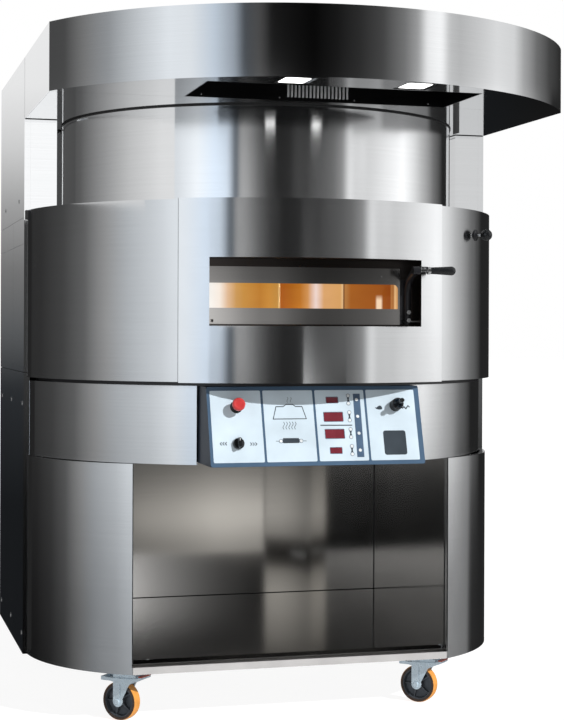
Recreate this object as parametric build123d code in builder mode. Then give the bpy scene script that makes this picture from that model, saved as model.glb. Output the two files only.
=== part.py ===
from build123d import *
import os
from math import acos, asin, atan2, cos, degrees, pi, radians, sin, sqrt, tan

# Free-standing electric pizza oven: a round baking chamber with a turning stone deck, a drum and a wide
# extractor hood above it, and a wheeled stand with a storage bay below it.
# Millimetres. +X is to the right of somebody facing the door, +Y is to the back and +Z is up.
# The origin is on the floor, under the middle of the oven's outer box.

# Driving dimensions
SIDE_X = 730.0          # outer face of the side panels
REAR_Y = 857.0          # rear edge of the side panels
FLANGE_Y = 154.0        # front plane of the square rear box
STAND_BOTTOM = 149.0    # underside of the stand, on top of the casters
BAND_Z = 739.0          # seam between the lower stand shells and the band above them
STAND_TOP = 959.0
CHAMBER_Z = 970.0       # underside of the chamber's shells
NECK_Z = 1464.0         # top of the chamber, foot of the drum
RIM_Z = 1735.0          # lower rim of the hood
HOOD_TOP = 1917.0
SPIGOT_TOP = 1977.0
SHEET = 2.0             # common sheet thickness
SEAM = 1.5              # visible gap between two sheets
FOLD = 18.0             # width of a sheet's folded front edge
SCREW_HEAD = 1.5        # how far a panel screw stands out
SIDES = {"left": -1, "right": 1}

CHAMBER_CENTRE = (0.0, 234.0)
CHAMBER_R = 724.0
FRONT_R = 736.0         # the front panel stands proud of the shells
FRONT_HALF = 378.0      # half width of the front panel
SEAM_X = 373.0          # where each shell starts, behind the front panel's edge

BAND_CENTRE = (0.0, 356.6)
BAND_R = 741.0
SHELL_CENTRE = (243.5, 201.1)
SHELL_R = 475.8
BAY_HALF = 467.0        # half width of the storage bay's mouth
FRONT_RAIL_Y = -219.0
REAR_PANEL_Y = 843.0

MOUTH_HALF = 302.0      # the door opening
MOUTH_Z = (1122.0, 1306.5)
INNER_R = 580.0         # baking chamber
DECK_TOP = 1150.0
CEILING_Z = 1330.0
SHAFT_R = 20.0
RUNNING = 0.05          # radial clearance of a shaft in its bore

HINGE = (-392.0, 1136.0)        # Y and Z of the door's hinge line
DOOR_Z = (1127.0, 1284.0)
WINDOW_Z = (1171.0, 1239.0)
DOOR_DEPTH = 24.0
DOOR_X = (-296.0, 256.0)
DOOR_ARC_R = 4014.0
DOOR_FRONT_Y = -398.0           # the bowed face's foremost line, half way along the door
LEVER_X = 277.0
LEVER_R = 10.0
HANDLE = (-462.0, 1277.0)       # Y and Z of the grip's axis
PIN_R = 5.0

PANEL_HALF = 303.0              # half width of the control panel
PANEL_TOP = (-406.0, 957.0)     # Y and Z of its upper edge
PANEL_FOOT = (-471.0, 745.0)    # Y and Z of its lower edge

HOOD_CENTRE = (0.0, -29.0)
HOOD_R = 828.0
HOOD_CORNER_Y = -420.0
DRUM_CENTRE = (0.0, 236.0)
DRUM_R = 603.0
POST_X = 634.0
FAN = (0.0, 620.0)

WHEEL_R = 55.0
WHEEL_HALF = 16.0
TRAIL = 38.0
TRAIL_BEARING = 137.0           # every caster trails the same way, in degrees from +X
CASTERS = {"front_left": (-450.0, -130.0), "front_right": (450.0, -130.0),
           "rear_left": (-450.0, 720.0), "rear_right": (450.0, 720.0)}

os.makedirs("parts", exist_ok=True)


def save(piece, label):
    """Labels a finished piece and writes it to its own file."""
    piece.part.label = label
    export_step(piece.part, f"parts/{label}.step")


def block(x, y, z, mode=Mode.ADD):
    """Adds a box, given by its two limits along each axis, to the part being built."""
    limits = (x, y, z)
    middle = tuple((low + high) / 2 for low, high in limits)
    sizes = (abs(high - low) for low, high in limits)
    with Locations(middle):
        Box(*sizes, mode=mode)


def post(x, y, z, radius, mode=Mode.ADD):
    """Adds an upright cylinder about (x, y), between two heights."""
    with Locations((x, y, min(z))):
        Cylinder(radius, abs(z[1] - z[0]), align=(Align.CENTER, Align.CENTER, Align.MIN), mode=mode)


def bar(start, end, radius, mode=Mode.ADD):
    """Adds a cylinder from one point to another."""
    run = Vector(*end) - Vector(*start)
    with Locations(Plane(origin=start, z_dir=run)):
        Cylinder(radius, run.length, align=(Align.CENTER, Align.CENTER, Align.MIN), mode=mode)


def on_circle(centre, radius, bearing, side=1):
    """Point of a circle at a bearing in degrees from +X, mirrored to the left for side -1."""
    angle = radians(bearing)
    return (side * (centre[0] + radius * cos(angle)), centre[1] + radius * sin(angle))


def curved_strip(centre, outer, inner, bearings, side=1):
    """Fills the strip between two arcs with one centre in the sketch being built."""
    first, last = bearings
    stops = (first, (first + last) / 2, last)
    with BuildLine() as rim:
        ThreePointArc(*(on_circle(centre, outer, stop, side) for stop in stops))
        Line(on_circle(centre, outer, last, side), on_circle(centre, inner, last, side))
        ThreePointArc(*(on_circle(centre, inner, stop, side) for stop in reversed(stops)))
        Line(on_circle(centre, inner, first, side), on_circle(centre, outer, first, side))
    make_face(rim.edges())


def front_bearing(centre, radius, x):
    """Bearing of the point on the front of a circle that lies at a given X."""
    return -degrees(acos((x - centre[0]) / radius))


def side_bearing(centre, radius, y):
    """Bearing of the point on the right side of a circle that lies at a given Y."""
    return degrees(asin((y - centre[1]) / radius))


def bowed_outline(centre, radius, join_y, half_width, back_y):
    """Fills a plan with a round front about a centre and square sides behind join_y."""
    reach = sqrt(radius**2 - (join_y - centre[1])**2)
    with BuildLine() as rim:
        ThreePointArc((-reach, join_y), (0, centre[1] - radius), (reach, join_y))
        Polyline((reach, join_y), (half_width, join_y), (half_width, back_y), (-half_width, back_y),
                 (-half_width, join_y), (-reach, join_y))
    make_face(rim.edges())


def hood_outline(gap):
    """Fills the hood's plan in front of the rear box, drawn in from its outer skin by a gap."""
    half = SIDE_X - gap
    radius = HOOD_R - gap
    corner = HOOD_CENTRE[1] - sqrt(radius**2 - half**2)
    with BuildLine() as rim:
        ThreePointArc((-half, corner), (0, HOOD_CENTRE[1] - radius), (half, corner))
        Polyline((half, corner), (half, FLANGE_Y - 1), (-half, FLANGE_Y - 1), (-half, corner))
    make_face(rim.edges())


# The stand: a base pan with four posts and a top ring
TUBE = 40.0
PAN_GAP = 3.0
PAN_HEIGHT = 20.0
PAN_SHEET = 4.0
BEAM_END_X = 500.0              # cross beams over the casters
BEAM_HALF = 50.0
BEAM_SHEET = 3.0
RING_DEPTH = 32.0
RING_SHEET = 6.0
POST_FRONT_Y = 105.0
POST_REAR_Y = 785.0
POST_IN_X = 630.0
CASTER_HOLES = (80.0, 60.0)
CASTER_HOLE_R = 5.5
shell_start = degrees(atan2(FRONT_RAIL_Y - SHELL_CENTRE[1], BAY_HALF - SHELL_CENTRE[0]))
shell_end = side_bearing(SHELL_CENTRE, SHELL_R, FLANGE_Y - 1)


def pan_outline(gap):
    """Fills the base pan's plan, which follows the lower shells and the side panels."""
    radius = SHELL_R - gap
    arc_end = side_bearing(SHELL_CENTRE, radius, FLANGE_Y - 6)
    stops = (shell_start, (shell_start + arc_end) / 2, arc_end)
    arc = [on_circle(SHELL_CENTRE, radius, stop) for stop in stops]
    fold = SIDE_X - FOLD - gap
    back = REAR_PANEL_Y - gap
    side = SIDE_X - SHEET - gap
    front = FRONT_RAIL_Y + gap - PAN_GAP
    with BuildLine() as rim:
        Line((-arc[0][0], front), (arc[0][0], front))
        Line((arc[0][0], front), arc[0])
        ThreePointArc(*arc)
        Polyline(arc[2], (fold, FLANGE_Y - 2), (fold, FLANGE_Y + gap), (side, FLANGE_Y + gap), (side, back),
                 (-side, back), (-side, FLANGE_Y + gap), (-fold, FLANGE_Y + gap), (-fold, FLANGE_Y - 2),
                 (-arc[2][0], arc[2][1]))
        ThreePointArc(*((-x, y) for x, y in reversed(arc)))
        Line((-arc[0][0], arc[0][1]), (-arc[0][0], front))
    make_face(rim.edges())


with BuildPart() as stand_frame:
    with BuildSketch(Plane.XY.offset(STAND_BOTTOM)):
        pan_outline(PAN_GAP)
    extrude(amount=PAN_HEIGHT)
    with BuildSketch(Plane.XY.offset(STAND_BOTTOM + PAN_SHEET)):
        pan_outline(PAN_GAP + SHEET)
    extrude(amount=PAN_HEIGHT, mode=Mode.SUBTRACT)
    pan_floor = STAND_BOTTOM + PAN_SHEET
    pan_rim = STAND_BOTTOM + PAN_HEIGHT
    for y in (CASTERS["front_left"][1], CASTERS["rear_left"][1]):
        beam = (-BEAM_END_X, BEAM_END_X)
        block(beam, (y - BEAM_HALF, y + BEAM_HALF), (pan_rim - BEAM_SHEET, pan_rim))
        for edge in (y - BEAM_HALF, y + BEAM_HALF - BEAM_SHEET):
            block(beam, (edge, edge + BEAM_SHEET), (pan_floor, pan_rim))
    ring = (STAND_TOP - RING_DEPTH, STAND_TOP - SHEET)
    for side in SIDES.values():
        for y in (POST_FRONT_Y, POST_REAR_Y):
            limits = (side * POST_IN_X, side * (POST_IN_X + TUBE))
            block(limits, (y, y + TUBE), (pan_floor, STAND_TOP - SHEET))
            core = (side * (POST_IN_X + 3), side * (POST_IN_X + TUBE - 3))
            block(core, (y + 3, y + TUBE - 3), (pan_floor, STAND_TOP - 40), mode=Mode.SUBTRACT)
        block((side * POST_IN_X, side * (POST_IN_X + RING_SHEET)), (POST_FRONT_Y, POST_REAR_Y + TUBE), ring)
    for y in (POST_FRONT_Y, POST_REAR_Y + TUBE - RING_SHEET):
        block((-POST_IN_X - RING_SHEET, POST_IN_X + RING_SHEET), (y, y + RING_SHEET), ring)
    with Locations(*((x, y, STAND_BOTTOM) for x, y in CASTERS.values())):
        with GridLocations(*CASTER_HOLES, 2, 2):
            Cylinder(CASTER_HOLE_R, 2 * PAN_SHEET, mode=Mode.SUBTRACT)
save(stand_frame, "stand_frame")

# Side panels of the stand, with their folded edges and domed screws
REAR_FOLD = 30.0
STAND_SCREWS = [(190, 890), (496, 890), (793, 890), (190, 207), (496, 207), (793, 207)]


def side_sheet(side, z, fold_top):
    """Adds one tall side panel with a fold along its front edge and one along its back edge."""
    block((side * (SIDE_X - SHEET), side * SIDE_X), (FLANGE_Y, REAR_Y), z)
    block((side * (SIDE_X - FOLD), side * SIDE_X), (FLANGE_Y, FLANGE_Y + SHEET), (z[0], fold_top))
    block((side * (SIDE_X - REAR_FOLD), side * SIDE_X), (REAR_Y - SHEET, REAR_Y), z)


def side_screws(side, places):
    """Adds domed socket screws that stand out of a side panel."""
    for y, z in places:
        with Locations(Plane(origin=(side * (SIDE_X - 0.5), y, z), z_dir=(side, 0, 0))):
            Cone(7, 5, SCREW_HEAD + 0.5, align=(Align.CENTER, Align.CENTER, Align.MIN))
        with Locations(Plane(origin=(side * (SIDE_X + 0.5), y, z), z_dir=(side, 0, 0))):
            Cylinder(2.3, 4, align=(Align.CENTER, Align.CENTER, Align.MIN), mode=Mode.SUBTRACT)


for name, side in SIDES.items():
    with BuildPart() as stand_side:
        side_sheet(side, (STAND_BOTTOM, 982.5), 982.5)
        side_screws(side, STAND_SCREWS)
    save(stand_side, f"stand_side_{name}")

# Lower shells of the stand, from the side panels round to the storage bay's mouth
for name, side in SIDES.items():
    with BuildPart() as stand_shell:
        with BuildSketch(Plane.XY.offset(STAND_BOTTOM)):
            curved_strip(SHELL_CENTRE, SHELL_R, SHELL_R - SHEET, (shell_start, shell_end), side)
        extrude(amount=BAND_Z - SEAM - STAND_BOTTOM)
        with BuildSketch(Plane.XY.offset(BAND_Z - SEAM - SHEET)):
            curved_strip(SHELL_CENTRE, SHELL_R, SHELL_R - 15, (shell_start, shell_end), side)
        extrude(amount=SHEET)
        block((side * BAY_HALF, side * (BAY_HALF + SHEET)), (FRONT_RAIL_Y, FRONT_RAIL_Y + 22),
              (STAND_BOTTOM + PAN_HEIGHT + 0.5, BAND_Z - SEAM))
    save(stand_shell, f"stand_shell_{name}")

# Band round the top of the stand, broken by the control panel
band_start = front_bearing(BAND_CENTRE, BAND_R, PANEL_HALF + 6)
band_end = side_bearing(BAND_CENTRE, BAND_R, FLANGE_Y - 1)
for name, side in SIDES.items():
    with BuildPart() as stand_band:
        with BuildSketch(Plane.XY.offset(BAND_Z)):
            curved_strip(BAND_CENTRE, BAND_R, BAND_R - SHEET, (band_start, band_end), side)
        extrude(amount=STAND_TOP - BAND_Z)
        with BuildSketch(Plane.XY.offset(BAND_Z)):
            curved_strip(BAND_CENTRE, BAND_R, BAND_R - FOLD, (band_start, band_end), side)
        extrude(amount=SHEET)
    save(stand_band, f"stand_band_{name}")

# Storage bay: a liner that is open at the front
BAY_PLAN = [(BAY_HALF, -195.0), (560.0, -120.0), (599.0, -60.0), (599.0, 840.0)]
BAY_FLOOR = 186.0
BAY_TOP = 737.0


def bay_outline(gap):
    """Fills the storage bay's plan, drawn in from its outside by a gap."""
    right = [(x - gap, y + (gap if y < 0 else -gap)) for x, y in BAY_PLAN]
    left = [(-x, y) for x, y in reversed(right)]
    with BuildLine() as rim:
        Polyline(*right, *left, close=True)
    make_face(rim.edges())


with BuildPart() as storage_bay:
    with BuildSketch(Plane.XY.offset(pan_rim)):
        bay_outline(0)
    extrude(amount=BAY_TOP - pan_rim)
    with BuildSketch(Plane.XY.offset(BAY_FLOOR)):
        bay_outline(SHEET)
    extrude(amount=BAY_TOP - SHEET - BAY_FLOOR, mode=Mode.SUBTRACT)
    with BuildSketch(Plane.XY.offset(pan_rim)):
        bay_outline(SHEET)
    extrude(amount=BAY_FLOOR - SHEET - pan_rim, mode=Mode.SUBTRACT)
    mouth = (SHEET - BAY_HALF, BAY_HALF - SHEET)
    block(mouth, (-200, -150), (BAY_FLOOR, BAY_TOP - SHEET), mode=Mode.SUBTRACT)
save(storage_bay, "storage_bay")

# Control box and its tilted panel
panel_rise = Vector(0, PANEL_TOP[0] - PANEL_FOOT[0], PANEL_TOP[1] - PANEL_FOOT[1])
PANEL_LENGTH = panel_rise.length
panel_origin = (0, (PANEL_TOP[0] + PANEL_FOOT[0]) / 2, (PANEL_TOP[1] + PANEL_FOOT[1]) / 2)
panel = Plane(origin=panel_origin, x_dir=(1, 0, 0), z_dir=Vector(1, 0, 0).cross(panel_rise))
PANEL_SHEET = 3.0
BOX_BACK = -300.0
STOP_AT = (-223.0, 54.0)
STOP_STEM_R = 8.0
STOP_HEAD_R = 18.0
STOP_HEAD = (25.0, 37.0)        # the head's back and front, above the panel
SELECTOR_AT = (-224.0, -48.0)
SELECTOR_STEM_R = 4.0
SELECTOR_R = 15.5
SELECTOR_DISC = (0.5, 10.5)
SELECTOR_GRIP_TOP = 24.0
LEVER_SWITCH_AT = (231.0, 54.0)
COLLAR_R = 15.5
COLLAR_BORE_R = 12.0
COLLAR_TOP = 26.0
SWITCH_PIVOT = 12.0             # height of the lever switch's pin above the panel
SWITCH_PIN_R = 2.0
SWITCH_STICK_R = 5.0
SWITCH_TIP_R = 6.5
SWITCH_TOP = 66.0
FIELD_STARTS = [-295.0, -147.5, 0.0, 147.5]
FIELD_SIZE = (141.5, 200.0)
DISPLAYS = [((49, 71.5), (33, 16)), ((49, 24), (54, 25)), ((49, -24), (54, 25)), ((49, -70.5), (33, 16))]

with BuildPart() as control_box:
    with BuildSketch(Plane.YZ.offset(-PANEL_HALF)) as box_profile:
        with BuildLine() as box_line:
            Polyline(PANEL_FOOT, PANEL_TOP, (BOX_BACK, PANEL_TOP[1]), (BOX_BACK, PANEL_FOOT[1]), close=True)
        make_face(box_line.edges())
    extrude(amount=2 * PANEL_HALF)
    with BuildSketch(Plane.YZ.offset(SHEET - PANEL_HALF)) as box_hollow:
        with BuildLine() as hollow_line:
            Polyline((PANEL_FOOT[0] - 40, PANEL_FOOT[1] + SHEET), (PANEL_TOP[0] - 40, PANEL_TOP[1] - SHEET),
                     (BOX_BACK + 1, PANEL_TOP[1] - SHEET), (BOX_BACK + 1, PANEL_FOOT[1] + SHEET), close=True)
        make_face(hollow_line.edges())
    extrude(amount=2 * (PANEL_HALF - SHEET), mode=Mode.SUBTRACT)
    with BuildSketch(panel.offset(-PANEL_SHEET)):
        Rectangle(4 * PANEL_HALF, 2 * PANEL_LENGTH)
    extrude(amount=100, mode=Mode.SUBTRACT)
save(control_box, "control_box")

switch_foot = panel.from_local_coords(Vector(*LEVER_SWITCH_AT, SWITCH_PIVOT))
switch_pin_foot = switch_foot - panel.y_dir * (COLLAR_R + 1)
switch_pin_plane = Plane(origin=switch_pin_foot, x_dir=(1, 0, 0), z_dir=panel.y_dir)

with BuildPart() as control_fascia:
    with BuildSketch(panel.offset(-PANEL_SHEET)):
        RectangleRounded(2 * PANEL_HALF, PANEL_LENGTH, 6)
    extrude(amount=PANEL_SHEET)
    with BuildSketch(panel.offset(-0.4)):
        for start in FIELD_STARTS:
            with Locations((start + FIELD_SIZE[0] / 2, 0)):
                Rectangle(*FIELD_SIZE)
    extrude(amount=1, mode=Mode.SUBTRACT)
    with BuildSketch(panel.offset(-0.4)):
        with Locations(STOP_AT):
            Circle(STOP_STEM_R + 8)
    extrude(amount=3)
    with BuildSketch(panel.offset(-0.4)):
        with Locations(LEVER_SWITCH_AT):
            Circle(COLLAR_R)
    extrude(amount=0.4 + COLLAR_TOP)
    with BuildSketch(panel.offset(-PANEL_SHEET)):
        with Locations(LEVER_SWITCH_AT):
            Circle(COLLAR_BORE_R)
    extrude(amount=PANEL_SHEET + COLLAR_TOP, mode=Mode.SUBTRACT)
    with BuildSketch(switch_pin_plane):
        Circle(SWITCH_PIN_R + RUNNING)
    extrude(amount=2 * COLLAR_R + 2, mode=Mode.SUBTRACT)
    with BuildSketch(panel.offset(-PANEL_SHEET)):
        with Locations(STOP_AT):
            Circle(STOP_STEM_R + RUNNING)
        with Locations(SELECTOR_AT):
            Circle(SELECTOR_STEM_R + RUNNING)
        for place, size in DISPLAYS:
            with Locations(place):
                Rectangle(*size)
    extrude(amount=20, mode=Mode.SUBTRACT)
save(control_fascia, "control_fascia")

with BuildPart() as stop_button:
    with BuildSketch(panel.offset(-22)):
        with Locations(STOP_AT):
            Circle(STOP_STEM_R)
    extrude(amount=22 + STOP_HEAD[0] + 1)
    with BuildSketch(panel.offset(STOP_HEAD[0])):
        with Locations(STOP_AT):
            Circle(STOP_HEAD_R)
    extrude(amount=STOP_HEAD[1] - STOP_HEAD[0])
    fillet(stop_button.faces().sort_by(Axis(panel.origin, panel.z_dir))[-1].edges(), 8)
save(stop_button, "stop_button")

with BuildPart() as selector:
    with BuildSketch(panel.offset(-18)):
        with Locations(SELECTOR_AT):
            Circle(SELECTOR_STEM_R)
    extrude(amount=22)
    with BuildSketch(panel.offset(SELECTOR_DISC[0])):
        with Locations(SELECTOR_AT):
            Circle(SELECTOR_R)
    extrude(amount=SELECTOR_DISC[1] - SELECTOR_DISC[0])
    with BuildSketch(panel.offset(SELECTOR_DISC[1] - 0.5)):
        with Locations(SELECTOR_AT):
            SlotOverall(27, 9, rotation=90)
    extrude(amount=SELECTOR_GRIP_TOP - SELECTOR_DISC[1] + 0.5)
save(selector, "selector")

with BuildPart() as lever_switch:
    with BuildSketch(panel.offset(-12)):
        with Locations(LEVER_SWITCH_AT):
            Circle(SWITCH_STICK_R)
    extrude(amount=12 + SWITCH_TOP - 20)
    with BuildSketch(panel.offset(SWITCH_TOP - 22)):
        with Locations(LEVER_SWITCH_AT):
            Circle(SWITCH_TIP_R)
    extrude(amount=22)
    fillet(lever_switch.faces().sort_by(Axis(panel.origin, panel.z_dir))[-1].edges(), SWITCH_TIP_R - 0.5)
    with BuildSketch(switch_pin_plane.offset(1.5)):
        Circle(SWITCH_PIN_R)
    extrude(amount=2 * COLLAR_R - 1)
save(lever_switch, "lever_switch")

with BuildPart() as display_board:
    with BuildSketch(panel.offset(-24)):
        with Locations((60, 0)):
            Rectangle(180, 190)
    extrude(amount=2)
    with BuildSketch(panel.offset(-22)):
        for place, size in DISPLAYS:
            with Locations(place):
                Rectangle(size[0] - 0.4, size[1] - 0.4)
    extrude(amount=21)
save(display_board, "display_board")

# Chamber skin: two shells, a proud front panel, a floor with a dark plinth, and a roof
shell_bearings = (front_bearing(CHAMBER_CENTRE, CHAMBER_R, SEAM_X),
                  side_bearing(CHAMBER_CENTRE, CHAMBER_R, FLANGE_Y - 1))
VENT_START = Vector(539.0, -250.0, 1391.0)      # where the damper's rod leaves the right shell
VENT_OUT = Vector(0.745, -0.668, 0.0).normalized()
VENT_ROD_R = 4.0


def along_vent(distance):
    """Point on the damper rod's line, measured outwards from the shell."""
    return tuple(VENT_START + VENT_OUT * distance)


for name, side in SIDES.items():
    with BuildPart() as chamber_shell:
        with BuildSketch(Plane.XY.offset(CHAMBER_Z)):
            curved_strip(CHAMBER_CENTRE, CHAMBER_R, CHAMBER_R - 3, shell_bearings, side)
        extrude(amount=NECK_Z - CHAMBER_Z)
        if name == "right":
            bar(along_vent(-40), along_vent(40), VENT_ROD_R + 1.5, mode=Mode.SUBTRACT)
    save(chamber_shell, f"chamber_shell_{name}")

front_edge = front_bearing(CHAMBER_CENTRE, FRONT_R, FRONT_HALF)
front_bearings = (-180 - front_edge, front_edge)
with BuildPart() as chamber_front:
    with BuildSketch(Plane.XY.offset(CHAMBER_Z - SHEET)):
        curved_strip(CHAMBER_CENTRE, FRONT_R, FRONT_R - 3, front_bearings)
    extrude(amount=NECK_Z - CHAMBER_Z + 2 * SHEET)
    with BuildSketch(Plane.XY.offset(CHAMBER_Z - SHEET), Plane.XY.offset(NECK_Z)):
        curved_strip(CHAMBER_CENTRE, FRONT_R - 1, CHAMBER_R - FOLD, front_bearings)
    extrude(amount=SHEET)
    panel_edge_y = on_circle(CHAMBER_CENTRE, FRONT_R, front_edge)[1]
    for side in SIDES.values():
        block((side * (FRONT_HALF - SHEET), side * FRONT_HALF), (panel_edge_y + 1, panel_edge_y + 11),
              (CHAMBER_Z - SHEET, NECK_Z + SHEET))
    block((-MOUTH_HALF, MOUTH_HALF), (-520, -400), MOUTH_Z, mode=Mode.SUBTRACT)
save(chamber_front, "chamber_front")

SHAFT_PORT_R = 45.0
PLINTH_R = 692.0
LID_R = 715.0            # floor and roof plates, inside the chamber's shells
BOX_HALF = 724.0
BOX_FRONT_Y = FLANGE_Y + SHEET + 0.5
BOX_BACK_Y = 838.0
with BuildPart() as chamber_base:
    with BuildSketch(Plane.XY.offset(CHAMBER_Z)):
        bowed_outline(CHAMBER_CENTRE, LID_R, BOX_FRONT_Y, BOX_HALF, BOX_BACK_Y)
    extrude(amount=4)
    with BuildSketch(Plane.XY.offset(STAND_TOP)):
        bowed_outline(CHAMBER_CENTRE, PLINTH_R, FLANGE_Y, PLINTH_R, BOX_BACK_Y - 30)
        with Locations(CHAMBER_CENTRE):
            Circle(PLINTH_R - 42, mode=Mode.SUBTRACT)
    extrude(amount=CHAMBER_Z - STAND_TOP)
    with BuildSketch(Plane.XY.offset(STAND_TOP - SHEET)):
        bowed_outline(BAND_CENTRE, BAND_R - SHEET - 0.5, BOX_FRONT_Y, BOX_HALF, BOX_BACK_Y)
    extrude(amount=SHEET)
    post(*CHAMBER_CENTRE, (STAND_TOP - 10, CHAMBER_Z + 10), SHAFT_PORT_R, mode=Mode.SUBTRACT)
save(chamber_base, "chamber_base")

FLUE_REACH = 260.0              # from the shell inwards to the middle of the steam duct
FLUE_HALF = 50.0
flue_middle = Vector(*along_vent(-FLUE_REACH))
flue_plane = Plane(origin=(flue_middle.X, flue_middle.Y, 0), x_dir=VENT_OUT, z_dir=(0, 0, 1))
LAMP_AT = (-330.0, -90.0)
ROOF = 3.0

with BuildPart() as chamber_roof:
    with BuildSketch(Plane.XY.offset(NECK_Z - ROOF)):
        bowed_outline(CHAMBER_CENTRE, LID_R, BOX_FRONT_Y, BOX_HALF, BOX_BACK_Y)
    extrude(amount=ROOF)
    with BuildSketch(flue_plane.offset(NECK_Z - ROOF - 1)):
        Rectangle(2 * FLUE_HALF - 4, 2 * FLUE_HALF - 4)
    extrude(amount=ROOF + 2, mode=Mode.SUBTRACT)
save(chamber_roof, "chamber_roof")

# Mouth: the tunnel from the front panel to the baking chamber, with the door's stop and bearings
BOSS_R = 11.0
BOSS_LENGTH = 8.0
STOP_Y = -360.0
STOP_X = (-284.0, 247.0)
STOP_Z = (1138.0, 1276.0)
with BuildPart() as mouth_frame:
    block((-MOUTH_HALF - SHEET, MOUTH_HALF + SHEET), (-520, -200), (MOUTH_Z[0] - SHEET, MOUTH_Z[1] + SHEET))
    for side in SIDES.values():
        inner = side * (MOUTH_HALF + SHEET - 0.5)
        outer = side * (MOUTH_HALF + SHEET + BOSS_LENGTH)
        bar((inner, *HINGE), (outer, *HINGE), BOSS_R)
    with BuildSketch(Plane.XY.offset(CHAMBER_Z)):
        with Locations(CHAMBER_CENTRE):
            Circle(FRONT_R - 3.5)
    extrude(amount=NECK_Z - CHAMBER_Z, mode=Mode.INTERSECT)
    with Locations((*CHAMBER_CENTRE, CHAMBER_Z)):
        Cylinder(INNER_R + 3.5, 1000, align=(Align.CENTER, Align.CENTER, Align.MIN), mode=Mode.SUBTRACT)
    block((-MOUTH_HALF, MOUTH_HALF), (-540, STOP_Y), MOUTH_Z, mode=Mode.SUBTRACT)
    block((-MOUTH_HALF, MOUTH_HALF), (STOP_Y + 4, -190), MOUTH_Z, mode=Mode.SUBTRACT)
    block(STOP_X, (-540, -190), STOP_Z, mode=Mode.SUBTRACT)
    bar((-MOUTH_HALF - 20, *HINGE), (MOUTH_HALF + 20, *HINGE), PIN_R + RUNNING, mode=Mode.SUBTRACT)
save(mouth_frame, "mouth_frame")

# Baking chamber
CHAMBER_FLOOR = 1085.0
LAMP_R = 32.0
SEAM = 0.1                      # between the wall and the floor and ceiling welded to it
with BuildPart() as inner_chamber:
    post(*CHAMBER_CENTRE, (CHAMBER_FLOOR, CEILING_Z + 3), INNER_R + 3)
    post(*CHAMBER_CENTRE, (CHAMBER_FLOOR + 3, CEILING_Z), INNER_R, mode=Mode.SUBTRACT)
    post(*CHAMBER_CENTRE, (CHAMBER_FLOOR + 3, CHAMBER_FLOOR + 3 + SEAM), INNER_R + 4, mode=Mode.SUBTRACT)
    post(*CHAMBER_CENTRE, (CEILING_Z - SEAM, CEILING_Z), INNER_R + 4, mode=Mode.SUBTRACT)
    post(*CHAMBER_CENTRE, (CHAMBER_FLOOR - 1, CHAMBER_FLOOR + 4), SHAFT_R + 5, mode=Mode.SUBTRACT)
    block((-MOUTH_HALF, MOUTH_HALF), (-400, -200), MOUTH_Z, mode=Mode.SUBTRACT)
    with BuildSketch(flue_plane.offset(CEILING_Z - 1)):
        Rectangle(2 * FLUE_HALF - 4, 2 * FLUE_HALF - 4)
    extrude(amount=5, mode=Mode.SUBTRACT)
    post(*LAMP_AT, (CEILING_Z - 1, CEILING_Z + 4), LAMP_R, mode=Mode.SUBTRACT)
save(inner_chamber, "inner_chamber")

DAMPER_TRAVEL = 60.0
SLEEVE_REACH = 74.0             # from the duct's wall outwards
WOOL_R = 690.0
with BuildPart() as insulation:
    with BuildSketch(Plane.XY.offset(CHAMBER_FLOOR)):
        bowed_outline(CHAMBER_CENTRE, WOOL_R, FLANGE_Y, WOOL_R, BOX_BACK_Y)
    extrude(amount=1440 - CHAMBER_FLOOR)
    post(*CHAMBER_CENTRE, (CHAMBER_FLOOR - 1, CEILING_Z + 4), INNER_R + 3.5, mode=Mode.SUBTRACT)
    beside_mouth = (-MOUTH_HALF - 14, MOUTH_HALF + 14)
    block(beside_mouth, (-600, -200), (MOUTH_Z[0] - 10, MOUTH_Z[1] + 6), mode=Mode.SUBTRACT)
    with BuildSketch(flue_plane.offset(CEILING_Z)):
        Rectangle(2 * FLUE_HALF + 2, 2 * FLUE_HALF + 2)
        with Locations((FLUE_HALF + SLEEVE_REACH / 2, 0)):
            Rectangle(SLEEVE_REACH + 4, 2 * FLUE_HALF + 2)
    extrude(amount=150, mode=Mode.SUBTRACT)
    bar(along_vent(-FLUE_REACH), along_vent(20), VENT_ROD_R + 4, mode=Mode.SUBTRACT)
    post(*LAMP_AT, (CEILING_Z, 1450), LAMP_R + 8, mode=Mode.SUBTRACT)
save(insulation, "insulation")

# Bare heating rods above and below the deck
HEATER_R = 4.0
HEATER_ROWS = {1318.0: [-400, -240, -80, 80, 240, 400], 1100.0: [-400, -240, 240, 400]}   # by height
with BuildPart() as heating_elements:
    for level, offsets in HEATER_ROWS.items():
        for offset_y in offsets:
            reach = sqrt((INNER_R - 0.5)**2 - (abs(offset_y) + HEATER_R)**2)
            middle_y = CHAMBER_CENTRE[1] + offset_y
            bar((-reach, middle_y, level), (reach, middle_y, level), HEATER_R)
save(heating_elements, "heating_elements")

with BuildPart() as chamber_lamp:
    post(*LAMP_AT, (CEILING_Z - 6, CEILING_Z), LAMP_R + 5)
    post(*LAMP_AT, (CEILING_Z, CEILING_Z + 60), LAMP_R - 0.5)
save(chamber_lamp, "chamber_lamp")

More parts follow.
